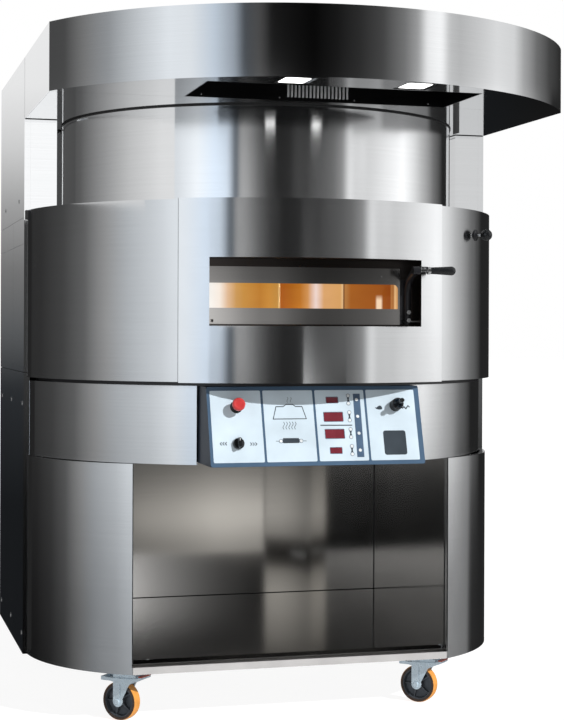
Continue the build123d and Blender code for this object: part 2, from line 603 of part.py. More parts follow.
# Turning deck: four quarters of stone on a steel carrier with a drive shaft
DECK_R = 560.0
STONE = 32.0
STONE_GAP_HALF = 1.0
CARRIER = 5.0
CARRIER_HUB_R = 60.0
SHAFT_FOOT = 865.0
BEARING_FLANGE_R = 75.0
BEARING_TOP = 1020.0
with BuildPart() as deck_stones:
    post(*CHAMBER_CENTRE, (DECK_TOP - STONE, DECK_TOP), DECK_R)
    middle_x, middle_y = CHAMBER_CENTRE
    for half_x, half_y in ((STONE_GAP_HALF, DECK_R), (DECK_R, STONE_GAP_HALF)):
        block((middle_x - half_x, middle_x + half_x), (middle_y - half_y, middle_y + half_y),
              (DECK_TOP - STONE, DECK_TOP), mode=Mode.SUBTRACT)
save(deck_stones, "deck_stones")

carrier_top = DECK_TOP - STONE
with BuildPart() as deck_carrier:
    post(*CHAMBER_CENTRE, (carrier_top - CARRIER, carrier_top), DECK_R)
    post(*CHAMBER_CENTRE, (CHAMBER_FLOOR + 6, carrier_top), CARRIER_HUB_R)
    post(*CHAMBER_CENTRE, (SHAFT_FOOT, carrier_top), SHAFT_R)
save(deck_carrier, "deck_carrier")

with BuildPart() as deck_bearing:
    post(*CHAMBER_CENTRE, (CHAMBER_Z + 4, CHAMBER_Z + 14), BEARING_FLANGE_R)
    post(*CHAMBER_CENTRE, (CHAMBER_Z - 9, BEARING_TOP), SHAFT_PORT_R - 0.5)
    post(*CHAMBER_CENTRE, (CHAMBER_Z - 10, BEARING_TOP + 1), SHAFT_R + RUNNING, mode=Mode.SUBTRACT)
save(deck_bearing, "deck_bearing")

GEARBOX_HALF = 75.0
GEARBOX_Z = (860.0, 935.0)
MOTOR_R = 60.0
MOTOR_Z = 895.0
MOTOR_END_Y = 500.0
STUD_PITCH = 120.0
STUD_R = 8.0
with BuildPart() as gearmotor:
    box_y = (CHAMBER_CENTRE[1] - GEARBOX_HALF, CHAMBER_CENTRE[1] + GEARBOX_HALF)
    block((-GEARBOX_HALF, GEARBOX_HALF), box_y, GEARBOX_Z)
    bar((0, box_y[1] - 9, MOTOR_Z), (0, MOTOR_END_Y, MOTOR_Z), MOTOR_R)
    stud_foot = GEARBOX_Z[1] - 5
    with Locations((*CHAMBER_CENTRE, stud_foot)):
        with GridLocations(STUD_PITCH, STUD_PITCH, 2, 2):
            Cylinder(STUD_R, STAND_TOP - SHEET - stud_foot, align=(Align.CENTER, Align.CENTER, Align.MIN))
    post(*CHAMBER_CENTRE, (GEARBOX_Z[0] - 1, STAND_TOP), SHAFT_R + RUNNING, mode=Mode.SUBTRACT)
save(gearmotor, "gearmotor")

# Door: a slightly bowed box hinged along the lower edge, with three flat panes in its window
LUG_X = -300.0
WINDOW_X = (-291.0, 250.0)
WINDOW_CORNER = 14.0            # the window's one round corner, at the top by the lever
PANE_BREAKS = (-94.0, 89.0)
DOOR_MIDDLE = (DOOR_X[0] + DOOR_X[1]) / 2


def door_face(x):
    """Y of the door's bowed front face at X."""
    return DOOR_FRONT_Y + DOOR_ARC_R - sqrt(DOOR_ARC_R**2 - (x - DOOR_MIDDLE)**2)


def bowed_plan(front, back):
    """Fills the door's plan between two distances behind its front face."""
    low, high = DOOR_X
    with BuildLine() as rim:
        ThreePointArc(*((x, door_face(x) + front) for x in (low, DOOR_MIDDLE, high)))
        Line((high, door_face(high) + front), (high, door_face(high) + back))
        ThreePointArc(*((x, door_face(x) + back) for x in (high, DOOR_MIDDLE, low)))
        Line((low, door_face(low) + back), (low, door_face(low) + front))
    make_face(rim.edges())


with BuildPart() as door_frame:
    with BuildSketch(Plane.XY.offset(DOOR_Z[0])):
        bowed_plan(0, DOOR_DEPTH)
    extrude(amount=DOOR_Z[1] - DOOR_Z[0])
    for low, high in ((DOOR_Z[0], WINDOW_Z[0]), (WINDOW_Z[1], DOOR_Z[1])):
        with BuildSketch(Plane.XY.offset(low + SHEET)):
            bowed_plan(SHEET, DOOR_DEPTH - SHEET)
            with Locations((DOOR_MIDDLE, -390)):
                Rectangle(530, 100, mode=Mode.INTERSECT)
        extrude(amount=high - low - 2 * SHEET, mode=Mode.SUBTRACT)
    block(WINDOW_X, (-420, -340), WINDOW_Z, mode=Mode.SUBTRACT)
    with BuildSketch(Plane.XY.offset(WINDOW_Z[1] - WINDOW_CORNER)):
        bowed_plan(0, DOOR_DEPTH)
        with Locations((WINDOW_X[1] - WINDOW_CORNER / 2, -390)):
            Rectangle(WINDOW_CORNER, 100, mode=Mode.INTERSECT)
    extrude(amount=WINDOW_CORNER)
    corner_x, corner_z = WINDOW_X[1] - WINDOW_CORNER, WINDOW_Z[1] - WINDOW_CORNER
    bar((corner_x, -430, corner_z), (corner_x, -340, corner_z), WINDOW_CORNER, mode=Mode.SUBTRACT)
    block((LUG_X, -290), (-400, -382), (DOOR_Z[0] + 1, DOOR_Z[0] + 20))
    bar((LUG_X - 5, *HINGE), (-280, *HINGE), PIN_R + 0.02, mode=Mode.SUBTRACT)
save(door_frame, "door_frame")

PANE = 6.0
PANE_SET_BACK = 3.0
with BuildPart() as door_glass:
    pane_ends = (WINDOW_X[0] - 1, *PANE_BREAKS, WINDOW_X[1] + 1)
    for x0, x1 in ((first + 1, last - 1) for first, last in zip(pane_ends, pane_ends[1:])):
        y0 = door_face(x0) + PANE_SET_BACK
        y1 = door_face(x1) + PANE_SET_BACK
        with BuildSketch(Plane.XY.offset(WINDOW_Z[0])):
            with BuildLine() as pane_line:
                Polyline((x0, y0), (x1, y1), (x1, y1 + PANE), (x0, y0 + PANE), close=True)
            make_face(pane_line.edges())
        extrude(amount=WINDOW_Z[1] - WINDOW_Z[0])
    pane_edges = (edge for edge in door_glass.edges() if edge.center().Z > WINDOW_Z[1] - 0.1)
    fillet([edge for edge in pane_edges if edge.center().X > WINDOW_X[1] - 0.9], WINDOW_CORNER + 0.2)
save(door_glass, "door_glass")

LEVER_FOOT = 1127.5
BEND_R = 55.0
BEND = 70.0
BEND_Z = 1213.0
COIL_X = (288.0, 310.0)
lever_plane = Plane(origin=(LEVER_X, HINGE[0], LEVER_FOOT), x_dir=(0, -1, 0), z_dir=(-1, 0, 0))
with BuildPart() as door_lever:
    with BuildLine(lever_plane) as lever_path:
        rise = Line((0, 0), (0, BEND_Z - LEVER_FOOT))
        bend = JernArc(start=rise @ 1, tangent=rise % 1, radius=BEND_R, arc_size=-BEND)
        Line(bend @ 1, (HINGE[0] - HANDLE[0], HANDLE[1] - LEVER_FOOT))
    with BuildSketch(Plane(origin=(LEVER_X, HINGE[0], LEVER_FOOT))):
        Circle(LEVER_R)
    sweep(path=lever_path.line)
    bar((LEVER_X - 10, *HANDLE), (COIL_X[0], *HANDLE), 11.0)
    block((256, LEVER_X - 6), (HINGE[0] + 3, HINGE[0] + 26), (1129, 1252))
    bar((250, *HINGE), (300, *HINGE), PIN_R + 0.02, mode=Mode.SUBTRACT)
save(door_lever, "door_lever")

LEVER_NUT_Z = (1139.5, 1162.0)
FERRULE_END = 318.0
GRIP_END = 393.0
ROD_R = 5.0
with BuildPart() as door_fittings:
    bar((LUG_X + 2, *HINGE), (-MOUTH_HALF - SHEET - BOSS_LENGTH, *HINGE), PIN_R)
    bar((LEVER_X - 8, *HINGE), (MOUTH_HALF + SHEET + BOSS_LENGTH, *HINGE), PIN_R)
    bar((COIL_X[0], *HANDLE), (GRIP_END - 20, *HANDLE), ROD_R)
    bar((COIL_X[1], *HANDLE), (FERRULE_END, *HANDLE), 10.5)
    for z in LEVER_NUT_Z:
        with BuildSketch(Plane(origin=(LEVER_X, HINGE[0] - LEVER_R, z), x_dir=(1, 0, 0), z_dir=(0, -1, 0))):
            RegularPolygon(6.5, 6)
        extrude(amount=3)
save(door_fittings, "door_fittings")

with BuildPart() as handle_grip:
    with BuildSketch(Plane(origin=(0, HANDLE[0], HANDLE[1]), x_dir=(1, 0, 0), z_dir=(0, -1, 0))):
        with BuildLine() as grip_line:
            foot = (FERRULE_END, 9.25)
            shoulder = (GRIP_END - 12.5, 12.5)
            Line((FERRULE_END, 0), foot)
            Line(foot, shoulder)
            CenterArc((shoulder[0], 0), shoulder[1], 0, 90)
            Line((GRIP_END, 0), (FERRULE_END, 0))
        make_face(grip_line.edges())
    revolve(axis=Axis((0, *HANDLE), (1, 0, 0)))
    bar((FERRULE_END - 1, *HANDLE), (GRIP_END - 20, *HANDLE), ROD_R + 0.02, mode=Mode.SUBTRACT)
save(handle_grip, "handle_grip")

# Cooling coil between the lever and the grip: one unbroken wire on arcs
WIRE_R = 1.25
COIL_R = 9.75
COIL_TURNS = 3
COIL_LEG = 2 * WIRE_R           # straight stretch at each end, along the handle
LEG_BEND = 2.7                  # radius where a leg turns into the winding


def coil_stations():
    """Points and directions along the coil, a quarter turn apart, between its two straight legs."""
    start_x = COIL_X[0] + COIL_LEG + LEG_BEND
    end_x = COIL_X[1] - COIL_LEG - LEG_BEND
    steps = 4 * COIL_TURNS
    climb = (end_x - start_x) / (2 * pi * COIL_TURNS)
    stations = []
    for step in range(steps + 1):
        angle = 2 * pi * COIL_TURNS * step / steps
        point = Vector(start_x + climb * angle, HANDLE[0] + COIL_R * sin(angle),
                       HANDLE[1] + COIL_R * cos(angle))
        heading = Vector(climb, COIL_R * cos(angle), -COIL_R * sin(angle)).normalized()
        stations.append((point, heading))
    return stations


def arc_middle(start, heading, end):
    """Middle of the arc that leaves a point along a heading and ends at another point."""
    chord = end - start
    turn = radians(heading.get_angle(chord))
    outward = (heading * (chord.length / 2 / cos(turn)) + start) - (start + end) * 0.5
    return (start + end) * 0.5 + outward * (tan(turn / 2) / tan(turn))


def biarc(start, heading, end, end_heading):
    """The two arcs that join two points and leave and reach them along given headings."""
    gap = end - start
    both = heading + end_heading
    spread = 2 * (1 - heading.dot(end_heading))
    reach = (-gap.dot(both) + sqrt(gap.dot(both)**2 + spread * gap.dot(gap))) / spread
    joint = (start + heading * reach + end - end_heading * reach) * 0.5
    return [(start, arc_middle(start, heading, joint), joint),
            (joint, arc_middle(end, end_heading * -1, joint), end)]


stations = coil_stations()
first_point, first_heading = stations[0]
last_point, last_heading = stations[-1]
ahead = Vector(1, 0, 0)
leg_start = first_point + ahead * -LEG_BEND + first_heading * -LEG_BEND
leg_end = last_point + ahead * LEG_BEND + last_heading * LEG_BEND
coil_arcs = biarc(leg_start, ahead, first_point, first_heading)
for (point, heading), (following, next_heading) in zip(stations, stations[1:]):
    coil_arcs += biarc(point, heading, following, next_heading)
coil_arcs += biarc(last_point, last_heading, leg_end, ahead)

with BuildPart() as handle_coil:
    with BuildLine() as coil_path:
        Line(Vector(COIL_X[0], leg_start.Y, leg_start.Z), leg_start)
        for arc in coil_arcs:
            ThreePointArc(*arc)
        Line(leg_end, Vector(COIL_X[1], leg_end.Y, leg_end.Z))
    with BuildSketch(Plane(origin=(COIL_X[0], leg_start.Y, leg_start.Z), z_dir=(1, 0, 0))):
        Circle(WIRE_R)
    sweep(path=coil_path.line)
save(handle_coil, "handle_coil")

coil_samples = [coil_path.line @ (step / 400) for step in range(401)]
coil_gaps = [(one - other).length - 2 * WIRE_R for index, one in enumerate(coil_samples)
             for other in coil_samples[index + 40:]]
print(f"least gap of the handle coil to itself: {min(coil_gaps):.2f} mm")

# Steam vent: a duct on the ceiling, a sliding damper with its rod, and a ball knob outside
SLOT_HALF = 4.0
damper_z = VENT_START.Z
with BuildPart() as flue_duct:
    with BuildSketch(flue_plane.offset(CEILING_Z + 3)):
        Rectangle(2 * FLUE_HALF, 2 * FLUE_HALF)
    extrude(amount=NECK_Z - ROOF - CEILING_Z - 3)
    with BuildSketch(flue_plane.offset(damper_z - SLOT_HALF - SHEET)):
        with Locations((FLUE_HALF + SLEEVE_REACH / 2 - 1, 0)):
            Rectangle(SLEEVE_REACH + 2, 2 * FLUE_HALF)
    extrude(amount=2 * (SLOT_HALF + SHEET))
    with BuildSketch(flue_plane.offset(CEILING_Z)):
        Rectangle(2 * FLUE_HALF - 4, 2 * FLUE_HALF - 4)
    extrude(amount=140, mode=Mode.SUBTRACT)
    with BuildSketch(flue_plane.offset(damper_z - SLOT_HALF)):
        with Locations((FLUE_HALF + SLEEVE_REACH / 2 - 6, 0)):
            Rectangle(SLEEVE_REACH + 8, 2 * FLUE_HALF - 4)
    extrude(amount=2 * SLOT_HALF, mode=Mode.SUBTRACT)
    bar(along_vent(-FLUE_REACH), along_vent(-100), VENT_ROD_R + 1, mode=Mode.SUBTRACT)
save(flue_duct, "flue_duct")

KNOB_REACH = 34.0
KNOB_R = 17.0
PLATE_HALF = 45.0
with BuildPart() as vent_rod:
    bar(along_vent(PLATE_HALF - FLUE_REACH - 8), along_vent(KNOB_REACH - 3), VENT_ROD_R)
    with BuildSketch(flue_plane.offset(damper_z - 1.5)):
        Rectangle(2 * PLATE_HALF, 2 * PLATE_HALF)
    extrude(amount=3)
save(vent_rod, "vent_rod")

with BuildPart() as vent_knob:
    with Locations(along_vent(KNOB_REACH)):
        Sphere(KNOB_R)
    bar(along_vent(KNOB_REACH - 30), along_vent(KNOB_REACH - 3), VENT_ROD_R + 0.02, mode=Mode.SUBTRACT)
save(vent_knob, "vent_knob")

# Square rear box: side panels above the stand, two front posts and the back
PANEL_SEAMS = [1081.0, 1364.0, 1442.0]
UPRIGHT_SEAM_Y = 461.0
GROOVE = 0.8
for name, side in SIDES.items():
    with BuildPart() as side_panel:
        side_sheet(side, (984, HOOD_TOP), RIM_Z - SHEET)
        skin = (side * (SIDE_X - GROOVE), side * (SIDE_X + 1))
        for z in PANEL_SEAMS:
            block(skin, (FLANGE_Y + 10, REAR_Y + 1), (z - 1, z + 1), mode=Mode.SUBTRACT)
        block(skin, (UPRIGHT_SEAM_Y - 1, UPRIGHT_SEAM_Y + 1), (984, PANEL_SEAMS[-1]), mode=Mode.SUBTRACT)
        side_screws(side, [(700, 1500), (300, 1500)])
    save(side_panel, f"side_panel_{name}")

POST_TURN_Y = 400.0
POST_END_X = 586.0
with BuildPart() as box_posts:
    for side in SIDES.values():
        heights = (NECK_Z, RIM_Z - SHEET)
        block((side * POST_X, side * (SIDE_X - FOLD - SEAM)), (FLANGE_Y, FLANGE_Y + SHEET), heights)
        block((side * POST_X, side * (POST_X + SHEET)), (FLANGE_Y, POST_TURN_Y), heights)
        block((side * POST_END_X, side * POST_X), (POST_TURN_Y - SHEET, POST_TURN_Y), heights)
save(box_posts, "box_posts")

GLAND_AT = (500.0, 300.0)
GLAND_R = 12.0
GLAND_BORE_R = 6.0
VENT_ROWS = (1600.0, 500.0)
VENTS = 5
VENT_PITCH = 180.0
VENT_SIZE = (140.0, 8.0)
gland_plane = Plane(origin=(GLAND_AT[0], REAR_PANEL_Y, GLAND_AT[1]), x_dir=(1, 0, 0), z_dir=(0, 1, 0))
with BuildPart() as rear_panel:
    block((-BOX_HALF - 2, BOX_HALF + 2), (REAR_PANEL_Y, REAR_PANEL_Y + SHEET), (STAND_BOTTOM, HOOD_TOP - 4))
    with Locations(*((0, REAR_PANEL_Y, height) for height in VENT_ROWS)):
        with GridLocations(VENT_PITCH, 1, VENTS, 1):
            Box(VENT_SIZE[0], 10, VENT_SIZE[1], mode=Mode.SUBTRACT)
    with Locations(gland_plane):
        Cylinder(GLAND_R, 20, mode=Mode.SUBTRACT)
save(rear_panel, "rear_panel")

with BuildPart() as cable_gland:
    with BuildSketch(gland_plane.offset(-2)):
        Circle(GLAND_R - 0.1)
    extrude(amount=REAR_Y - REAR_PANEL_Y + 2)
    with BuildSketch(gland_plane.offset(SHEET)):
        RegularPolygon(17, 6)
    extrude(amount=5)
    with BuildSketch(gland_plane.offset(3)):
        Circle(GLAND_BORE_R)
    extrude(amount=20, mode=Mode.SUBTRACT)
save(cable_gland, "cable_gland")

# Drum and hood
with BuildPart() as neck_drum:
    post(*DRUM_CENTRE, (NECK_Z, RIM_Z), DRUM_R)
    post(*DRUM_CENTRE, (NECK_Z - 1, RIM_Z + 1), DRUM_R - SHEET, mode=Mode.SUBTRACT)
save(neck_drum, "neck_drum")

SPIGOT_R = 100.0
with BuildPart() as hood_canopy:
    with BuildSketch(Plane.XY.offset(RIM_Z)):
        hood_outline(0)
    extrude(amount=HOOD_TOP - RIM_Z)
    with BuildSketch(Plane.XY.offset(RIM_Z)):
        hood_outline(SHEET)
    extrude(amount=HOOD_TOP - SHEET - RIM_Z, mode=Mode.SUBTRACT)
    block((-SIDE_X, SIDE_X), (FLANGE_Y - 4, FLANGE_Y), (RIM_Z - 1, HOOD_TOP - SHEET), mode=Mode.SUBTRACT)
    block((-BOX_HALF - 3, BOX_HALF + 3), (FLANGE_Y - 2, REAR_Y - 4), (HOOD_TOP - SHEET, HOOD_TOP))
    post(*FAN, (HOOD_TOP - SHEET, SPIGOT_TOP), SPIGOT_R)
    post(*FAN, (HOOD_TOP - 10, SPIGOT_TOP + 1), SPIGOT_R - SHEET, mode=Mode.SUBTRACT)
save(hood_canopy, "hood_canopy")

RECESS_X = 371.0
RECESS_Y = (-708.0, -430.0)
LAMP_X = (116.0, 206.0)
LAMP_Y = (-824.0, -716.0)
with BuildPart() as hood_underside:
    with BuildSketch(Plane.XY.offset(RIM_Z)):
        hood_outline(SHEET + 0.5)
    extrude(amount=SHEET)
    block((0.5 - POST_X, POST_X - 0.5), (FLANGE_Y - 2, POST_TURN_Y - SHEET - 0.5), (RIM_Z, RIM_Z + SHEET))
    post(*DRUM_CENTRE, (RIM_Z - 1, RIM_Z + SHEET + 1), DRUM_R - 4, mode=Mode.SUBTRACT)
    block((-RECESS_X, RECESS_X), RECESS_Y, (RIM_Z - 1, RIM_Z + SHEET + 1), mode=Mode.SUBTRACT)
    for side in SIDES.values():
        block(tuple(side * x for x in LAMP_X), LAMP_Y, (RIM_Z - 1, RIM_Z + SHEET + 1), mode=Mode.SUBTRACT)
    block((-SIDE_X, SIDE_X), (HOOD_CORNER_Y - 1, HOOD_CORNER_Y), (RIM_Z - 1, RIM_Z + 1), mode=Mode.SUBTRACT)
save(hood_underside, "hood_underside")

RECESS_TOP = 1800.0
LOUVRES = 17
LOUVRE_PITCH = 10.5
LOUVRE_WIDTH = 5.0
LOUVRE_HEIGHT = 39.0
LOUVRE_FOOT = 9.0               # above the hood's rim
with BuildPart() as louvre_panel:
    block((0.5 - RECESS_X, RECESS_X - 0.5), (RECESS_Y[0] + 0.5, RECESS_Y[1] - 0.5), (RIM_Z, RECESS_TOP))
    inside = (2.5 - RECESS_X, RECESS_X - 2.5)
    block(inside, (RECESS_Y[0] + 2.5, RECESS_Y[1] - 2.5), (RIM_Z - 1, RECESS_TOP - SHEET), mode=Mode.SUBTRACT)
    with Locations((0, RECESS_Y[1], RIM_Z + LOUVRE_FOOT + LOUVRE_HEIGHT / 2)):
        with GridLocations(LOUVRE_PITCH, 1, LOUVRES, 1):
            Box(LOUVRE_WIDTH, 10, LOUVRE_HEIGHT, mode=Mode.SUBTRACT)
save(louvre_panel, "louvre_panel")

with BuildPart() as hood_lamps:
    for side in SIDES.values():
        block((side * (LAMP_X[0] + 0.5), side * (LAMP_X[1] - 0.5)), (LAMP_Y[0] + 0.5, LAMP_Y[1] - 0.5),
              (RIM_Z + 1, RIM_Z + 30))
save(hood_lamps, "hood_lamps")

# Extractor fan under the exhaust spigot
FAN_SHAFT_R = 8.0
FAN_SHAFT_TOP = 1884.0
FAN_BEAM_Z = (1741.0, 1745.0)
FAN_BEAM_HALF = 50.0
FAN_MOTOR_R = 70.0
FAN_MOTOR_TOP = 1800.0
IMPELLER_R = 150.0
IMPELLER_EYE_R = 105.0
IMPELLER_Z = (1806.0, 1871.0)
IMPELLER_HUB_R = 22.0
BACK_PLATE = 4.0
FRONT_RING = 3.0
BLADES = 24
BLADE = (36.0, 2.0, 62.0)
BLADE_PITCH_R = 128.0
BLADE_TURN = 35.0
with BuildPart() as fan_motor:
    block((-BOX_HALF - 3, BOX_HALF + 3), (FAN[1] - FAN_BEAM_HALF, FAN[1] + FAN_BEAM_HALF), FAN_BEAM_Z)
    post(*FAN, (FAN_BEAM_Z[1], FAN_MOTOR_TOP), FAN_MOTOR_R)
    post(*FAN, (FAN_MOTOR_TOP, FAN_SHAFT_TOP), FAN_SHAFT_R)
save(fan_motor, "fan_motor")

with BuildPart() as fan_impeller:
    fan_low, fan_high = IMPELLER_Z
    post(*FAN, (fan_low, fan_low + BACK_PLATE), IMPELLER_R)
    post(*FAN, (fan_low, fan_low + 44), IMPELLER_HUB_R)
    with Locations((*FAN, fan_low + BACK_PLATE - 1)):
        with PolarLocations(BLADE_PITCH_R, BLADES):
            Box(*BLADE, rotation=(0, 0, BLADE_TURN), align=(Align.CENTER, Align.CENTER, Align.MIN))
    post(*FAN, (fan_high - FRONT_RING, fan_high), IMPELLER_R)
    post(*FAN, (fan_high - FRONT_RING - 1, fan_high + 1), IMPELLER_EYE_R, mode=Mode.SUBTRACT)
    post(*FAN, (fan_low - 6, fan_low + 54), FAN_SHAFT_R + RUNNING, mode=Mode.SUBTRACT)
save(fan_impeller, "fan_impeller")

# Casters: plates and king pins on the stand, forks that swivel on them, wheels, and two brake pedals
KINGPIN_R = 8.0
AXLE_R = 5.0
PEDAL_PIN_R = 3.0
LEG_IN = 18.0
LEG_OUT = 22.0
LEG_GROOVE = (28.8, 97.0)       # middle of the pressed groove in each leg, along the trail and up
GROOVE_SIZE = (62.0, 3.2)
GROOVE_DEPTH = 1.6
CROWN_Z = (122.0, 133.7)
PLATE_HALF_SIZE = (52.0, 43.0)
RACE_R = 28.0
LEG_SHAPE = [(-14.0, CROWN_Z[1]), (TRAIL + 15, CROWN_Z[1]), (TRAIL + 15, WHEEL_R), (TRAIL - 7, WHEEL_R - 6)]
LEG_FOOT_R = 15.0
WHEEL_POCKET = (WHEEL_R - 15, 14.0)
WHEEL_WEB_HALF = 4.0
WHEEL_SPOKES = 5
CHEEK_IN = 22.6
CHEEK_OUT = 25.1
TREAD_GAP = 0.1                 # between the pedal's cheeks and what is riveted between them
PEDAL_PIVOT = (8.0, 112.0)      # like the pedal's outlines, along the trail and up
CHEEK_SHAPE = [(-44.0, 131.0), (-44.0, 125.0), (-24.0, 117.0), (2.0, 105.5), (15.0, 105.5), (62.0, 113.0),
               (92.0, 113.0), (92.0, 124.0), (60.0, 121.0), (-20.0, 125.0)]
STOP_TREAD = [(62.0, 113.0), (92.0, 113.0), (92.0, 124.0), (88.5, 124.0), (88.5, 116.0), (62.0, 116.0)]
RELEASE_TREAD = [(-44.0, 131.0), (-44.0, 125.0), (-31.0, 120.0), (-31.0, 125.0)]
trail_way = Vector(cos(radians(TRAIL_BEARING)), sin(radians(TRAIL_BEARING)), 0)

with BuildPart() as caster_plates:
    for x, y in CASTERS.values():
        half_x, half_y = PLATE_HALF_SIZE
        block((x - half_x, x + half_x), (y - half_y, y + half_y), (STAND_BOTTOM - PAN_SHEET, STAND_BOTTOM))
        post(x, y, (134, STAND_BOTTOM - 2), RACE_R)
        post(x, y, (118, 136), KINGPIN_R)
    with Locations(*((x, y, STAND_BOTTOM) for x, y in CASTERS.values())):
        with GridLocations(*CASTER_HOLES, 2, 2):
            Cylinder(CASTER_HOLE_R, 20, mode=Mode.SUBTRACT)
save(caster_plates, "caster_plates")


def beside(x, y, offset):
    """Upright plane through a caster's swivel axis, across its axle, moved along the axle by an offset."""
    upright = Plane(origin=(x, y, 0), x_dir=trail_way, z_dir=trail_way.cross(Vector(0, 0, 1)))
    return upright.offset(offset)


for name, (x, y) in CASTERS.items():
    with BuildPart() as caster_fork:
        post(x, y, CROWN_Z, LEG_OUT)
        for offset_low in (-LEG_OUT, LEG_IN):
            with BuildSketch(beside(x, y, offset_low)):
                Polygon(*LEG_SHAPE, align=None)
                with Locations((TRAIL, WHEEL_R)):
                    Circle(LEG_FOOT_R)
            extrude(amount=LEG_OUT - LEG_IN)
        for offset_low in (-LEG_OUT - 1, LEG_OUT - GROOVE_DEPTH):
            with BuildSketch(beside(x, y, offset_low)):
                with Locations(LEG_GROOVE):
                    SlotOverall(*GROOVE_SIZE, rotation=90)
            extrude(amount=GROOVE_DEPTH + 1, mode=Mode.SUBTRACT)
        with BuildSketch(beside(x, y, -LEG_OUT)):
            with Locations((0, sum(CROWN_Z) / 2)):
                Rectangle(2 * LEG_OUT, CROWN_Z[1] - CROWN_Z[0])
        extrude(amount=2 * LEG_OUT)
        with BuildSketch(beside(x, y, -LEG_OUT - 4)):
            with Locations((TRAIL, WHEEL_R)):
                Circle(AXLE_R)
        extrude(amount=2 * (LEG_OUT + 4))
        post(x, y, (100, 140), KINGPIN_R + RUNNING, mode=Mode.SUBTRACT)
        if name.startswith("front"):
            with BuildSketch(beside(x, y, -30)):
                with Locations(PEDAL_PIVOT):
                    Circle(PEDAL_PIN_R + RUNNING)
            extrude(amount=60, mode=Mode.SUBTRACT)
    save(caster_fork, f"caster_fork_{name}")

    with BuildPart() as caster_wheel:
        with BuildSketch(beside(x, y, -WHEEL_HALF)):
            with Locations((TRAIL, WHEEL_R)):
                Circle(WHEEL_R)
        extrude(amount=2 * WHEEL_HALF)
        chamfer(caster_wheel.edges().filter_by(GeomType.CIRCLE), 3)
        for plane in (beside(x, y, -WHEEL_HALF), beside(x, y, WHEEL_WEB_HALF)):
            with BuildSketch(plane):
                with Locations((TRAIL, WHEEL_R)):
                    Circle(WHEEL_POCKET[0])
                    Circle(WHEEL_POCKET[1], mode=Mode.SUBTRACT)
                    with PolarLocations(0, WHEEL_SPOKES):
                        Rectangle(WHEEL_POCKET[0] + 1, 5, align=(Align.MIN, Align.CENTER), mode=Mode.SUBTRACT)
            extrude(amount=WHEEL_HALF - WHEEL_WEB_HALF, mode=Mode.SUBTRACT)
        with BuildSketch(beside(x, y, -WHEEL_HALF - 1)):
            with Locations((TRAIL, WHEEL_R)):
                Circle(AXLE_R + RUNNING)
        extrude(amount=2 * WHEEL_HALF + 2, mode=Mode.SUBTRACT)
    save(caster_wheel, f"caster_wheel_{name}")

for name in ("front_left", "front_right"):
    x, y = CASTERS[name]
    with BuildPart() as brake_pedal:
        for offset_low in (-CHEEK_OUT, CHEEK_IN):
            with BuildSketch(beside(x, y, offset_low)):
                Polygon(*CHEEK_SHAPE, align=None)
            extrude(amount=CHEEK_OUT - CHEEK_IN)
        with BuildSketch(beside(x, y, TREAD_GAP - CHEEK_IN)):
            Polygon(*STOP_TREAD, align=None)
            Polygon(*RELEASE_TREAD, align=None)
            with Locations(PEDAL_PIVOT):
                Circle(PEDAL_PIN_R)
        extrude(amount=2 * (CHEEK_IN - TREAD_GAP))
    save(brake_pedal, f"brake_pedal_{name}")
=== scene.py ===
import logging
import math
from dataclasses import dataclass
from enum import Enum
from typing import Sequence

import bmesh
import bpy
from mathutils import Matrix, Vector


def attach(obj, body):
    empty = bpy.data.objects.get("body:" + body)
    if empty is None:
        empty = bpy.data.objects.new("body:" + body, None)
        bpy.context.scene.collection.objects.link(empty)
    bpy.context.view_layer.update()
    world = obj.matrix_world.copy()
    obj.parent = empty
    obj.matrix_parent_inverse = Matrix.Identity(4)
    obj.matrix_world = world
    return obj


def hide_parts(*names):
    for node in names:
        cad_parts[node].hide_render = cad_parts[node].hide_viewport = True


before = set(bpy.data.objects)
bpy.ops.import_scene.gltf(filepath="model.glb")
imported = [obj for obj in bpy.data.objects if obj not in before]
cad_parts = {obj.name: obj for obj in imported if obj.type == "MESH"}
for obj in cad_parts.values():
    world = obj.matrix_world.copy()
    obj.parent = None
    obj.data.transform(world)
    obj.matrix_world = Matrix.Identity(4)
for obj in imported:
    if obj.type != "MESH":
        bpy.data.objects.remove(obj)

LOG = logging.getLogger("pizza_oven")
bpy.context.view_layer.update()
MM = 0.001       # a millimetre in metres
FULL_TURN = 2 * math.pi
CREASE = 32.0    # degrees over which an edge stays sharp
WHITE = (1.0, 1.0, 1.0)
WARM = (1.0, 0.965, 0.90)
# Each caster's swivel axis in plan, in millimetres.
CASTERS = {"front_left": (-450.0, -130.0), "front_right": (450.0, -130.0),
           "rear_left": (-450.0, 720.0), "rear_right": (450.0, 720.0)}

Colour = tuple[float, float, float]
Point2 = tuple[float, float]
Point3 = tuple[float, float, float]
Socket = bpy.types.NodeSocket
Material = bpy.types.Material


class Lay(Enum):
    """How a sheet's brush lines run: the stretch of their pattern and the way a highlight spreads."""

    LEVEL = ((2.5, 2.5, 700.0), (0.02, 0.01, 1.0))
    UPRIGHT = ((700.0, 700.0, 2.5), (1.0, 0.3, 0.02))
    ACROSS = ((2.5, 700.0, 700.0), (0.02, 1.0, 0.3))


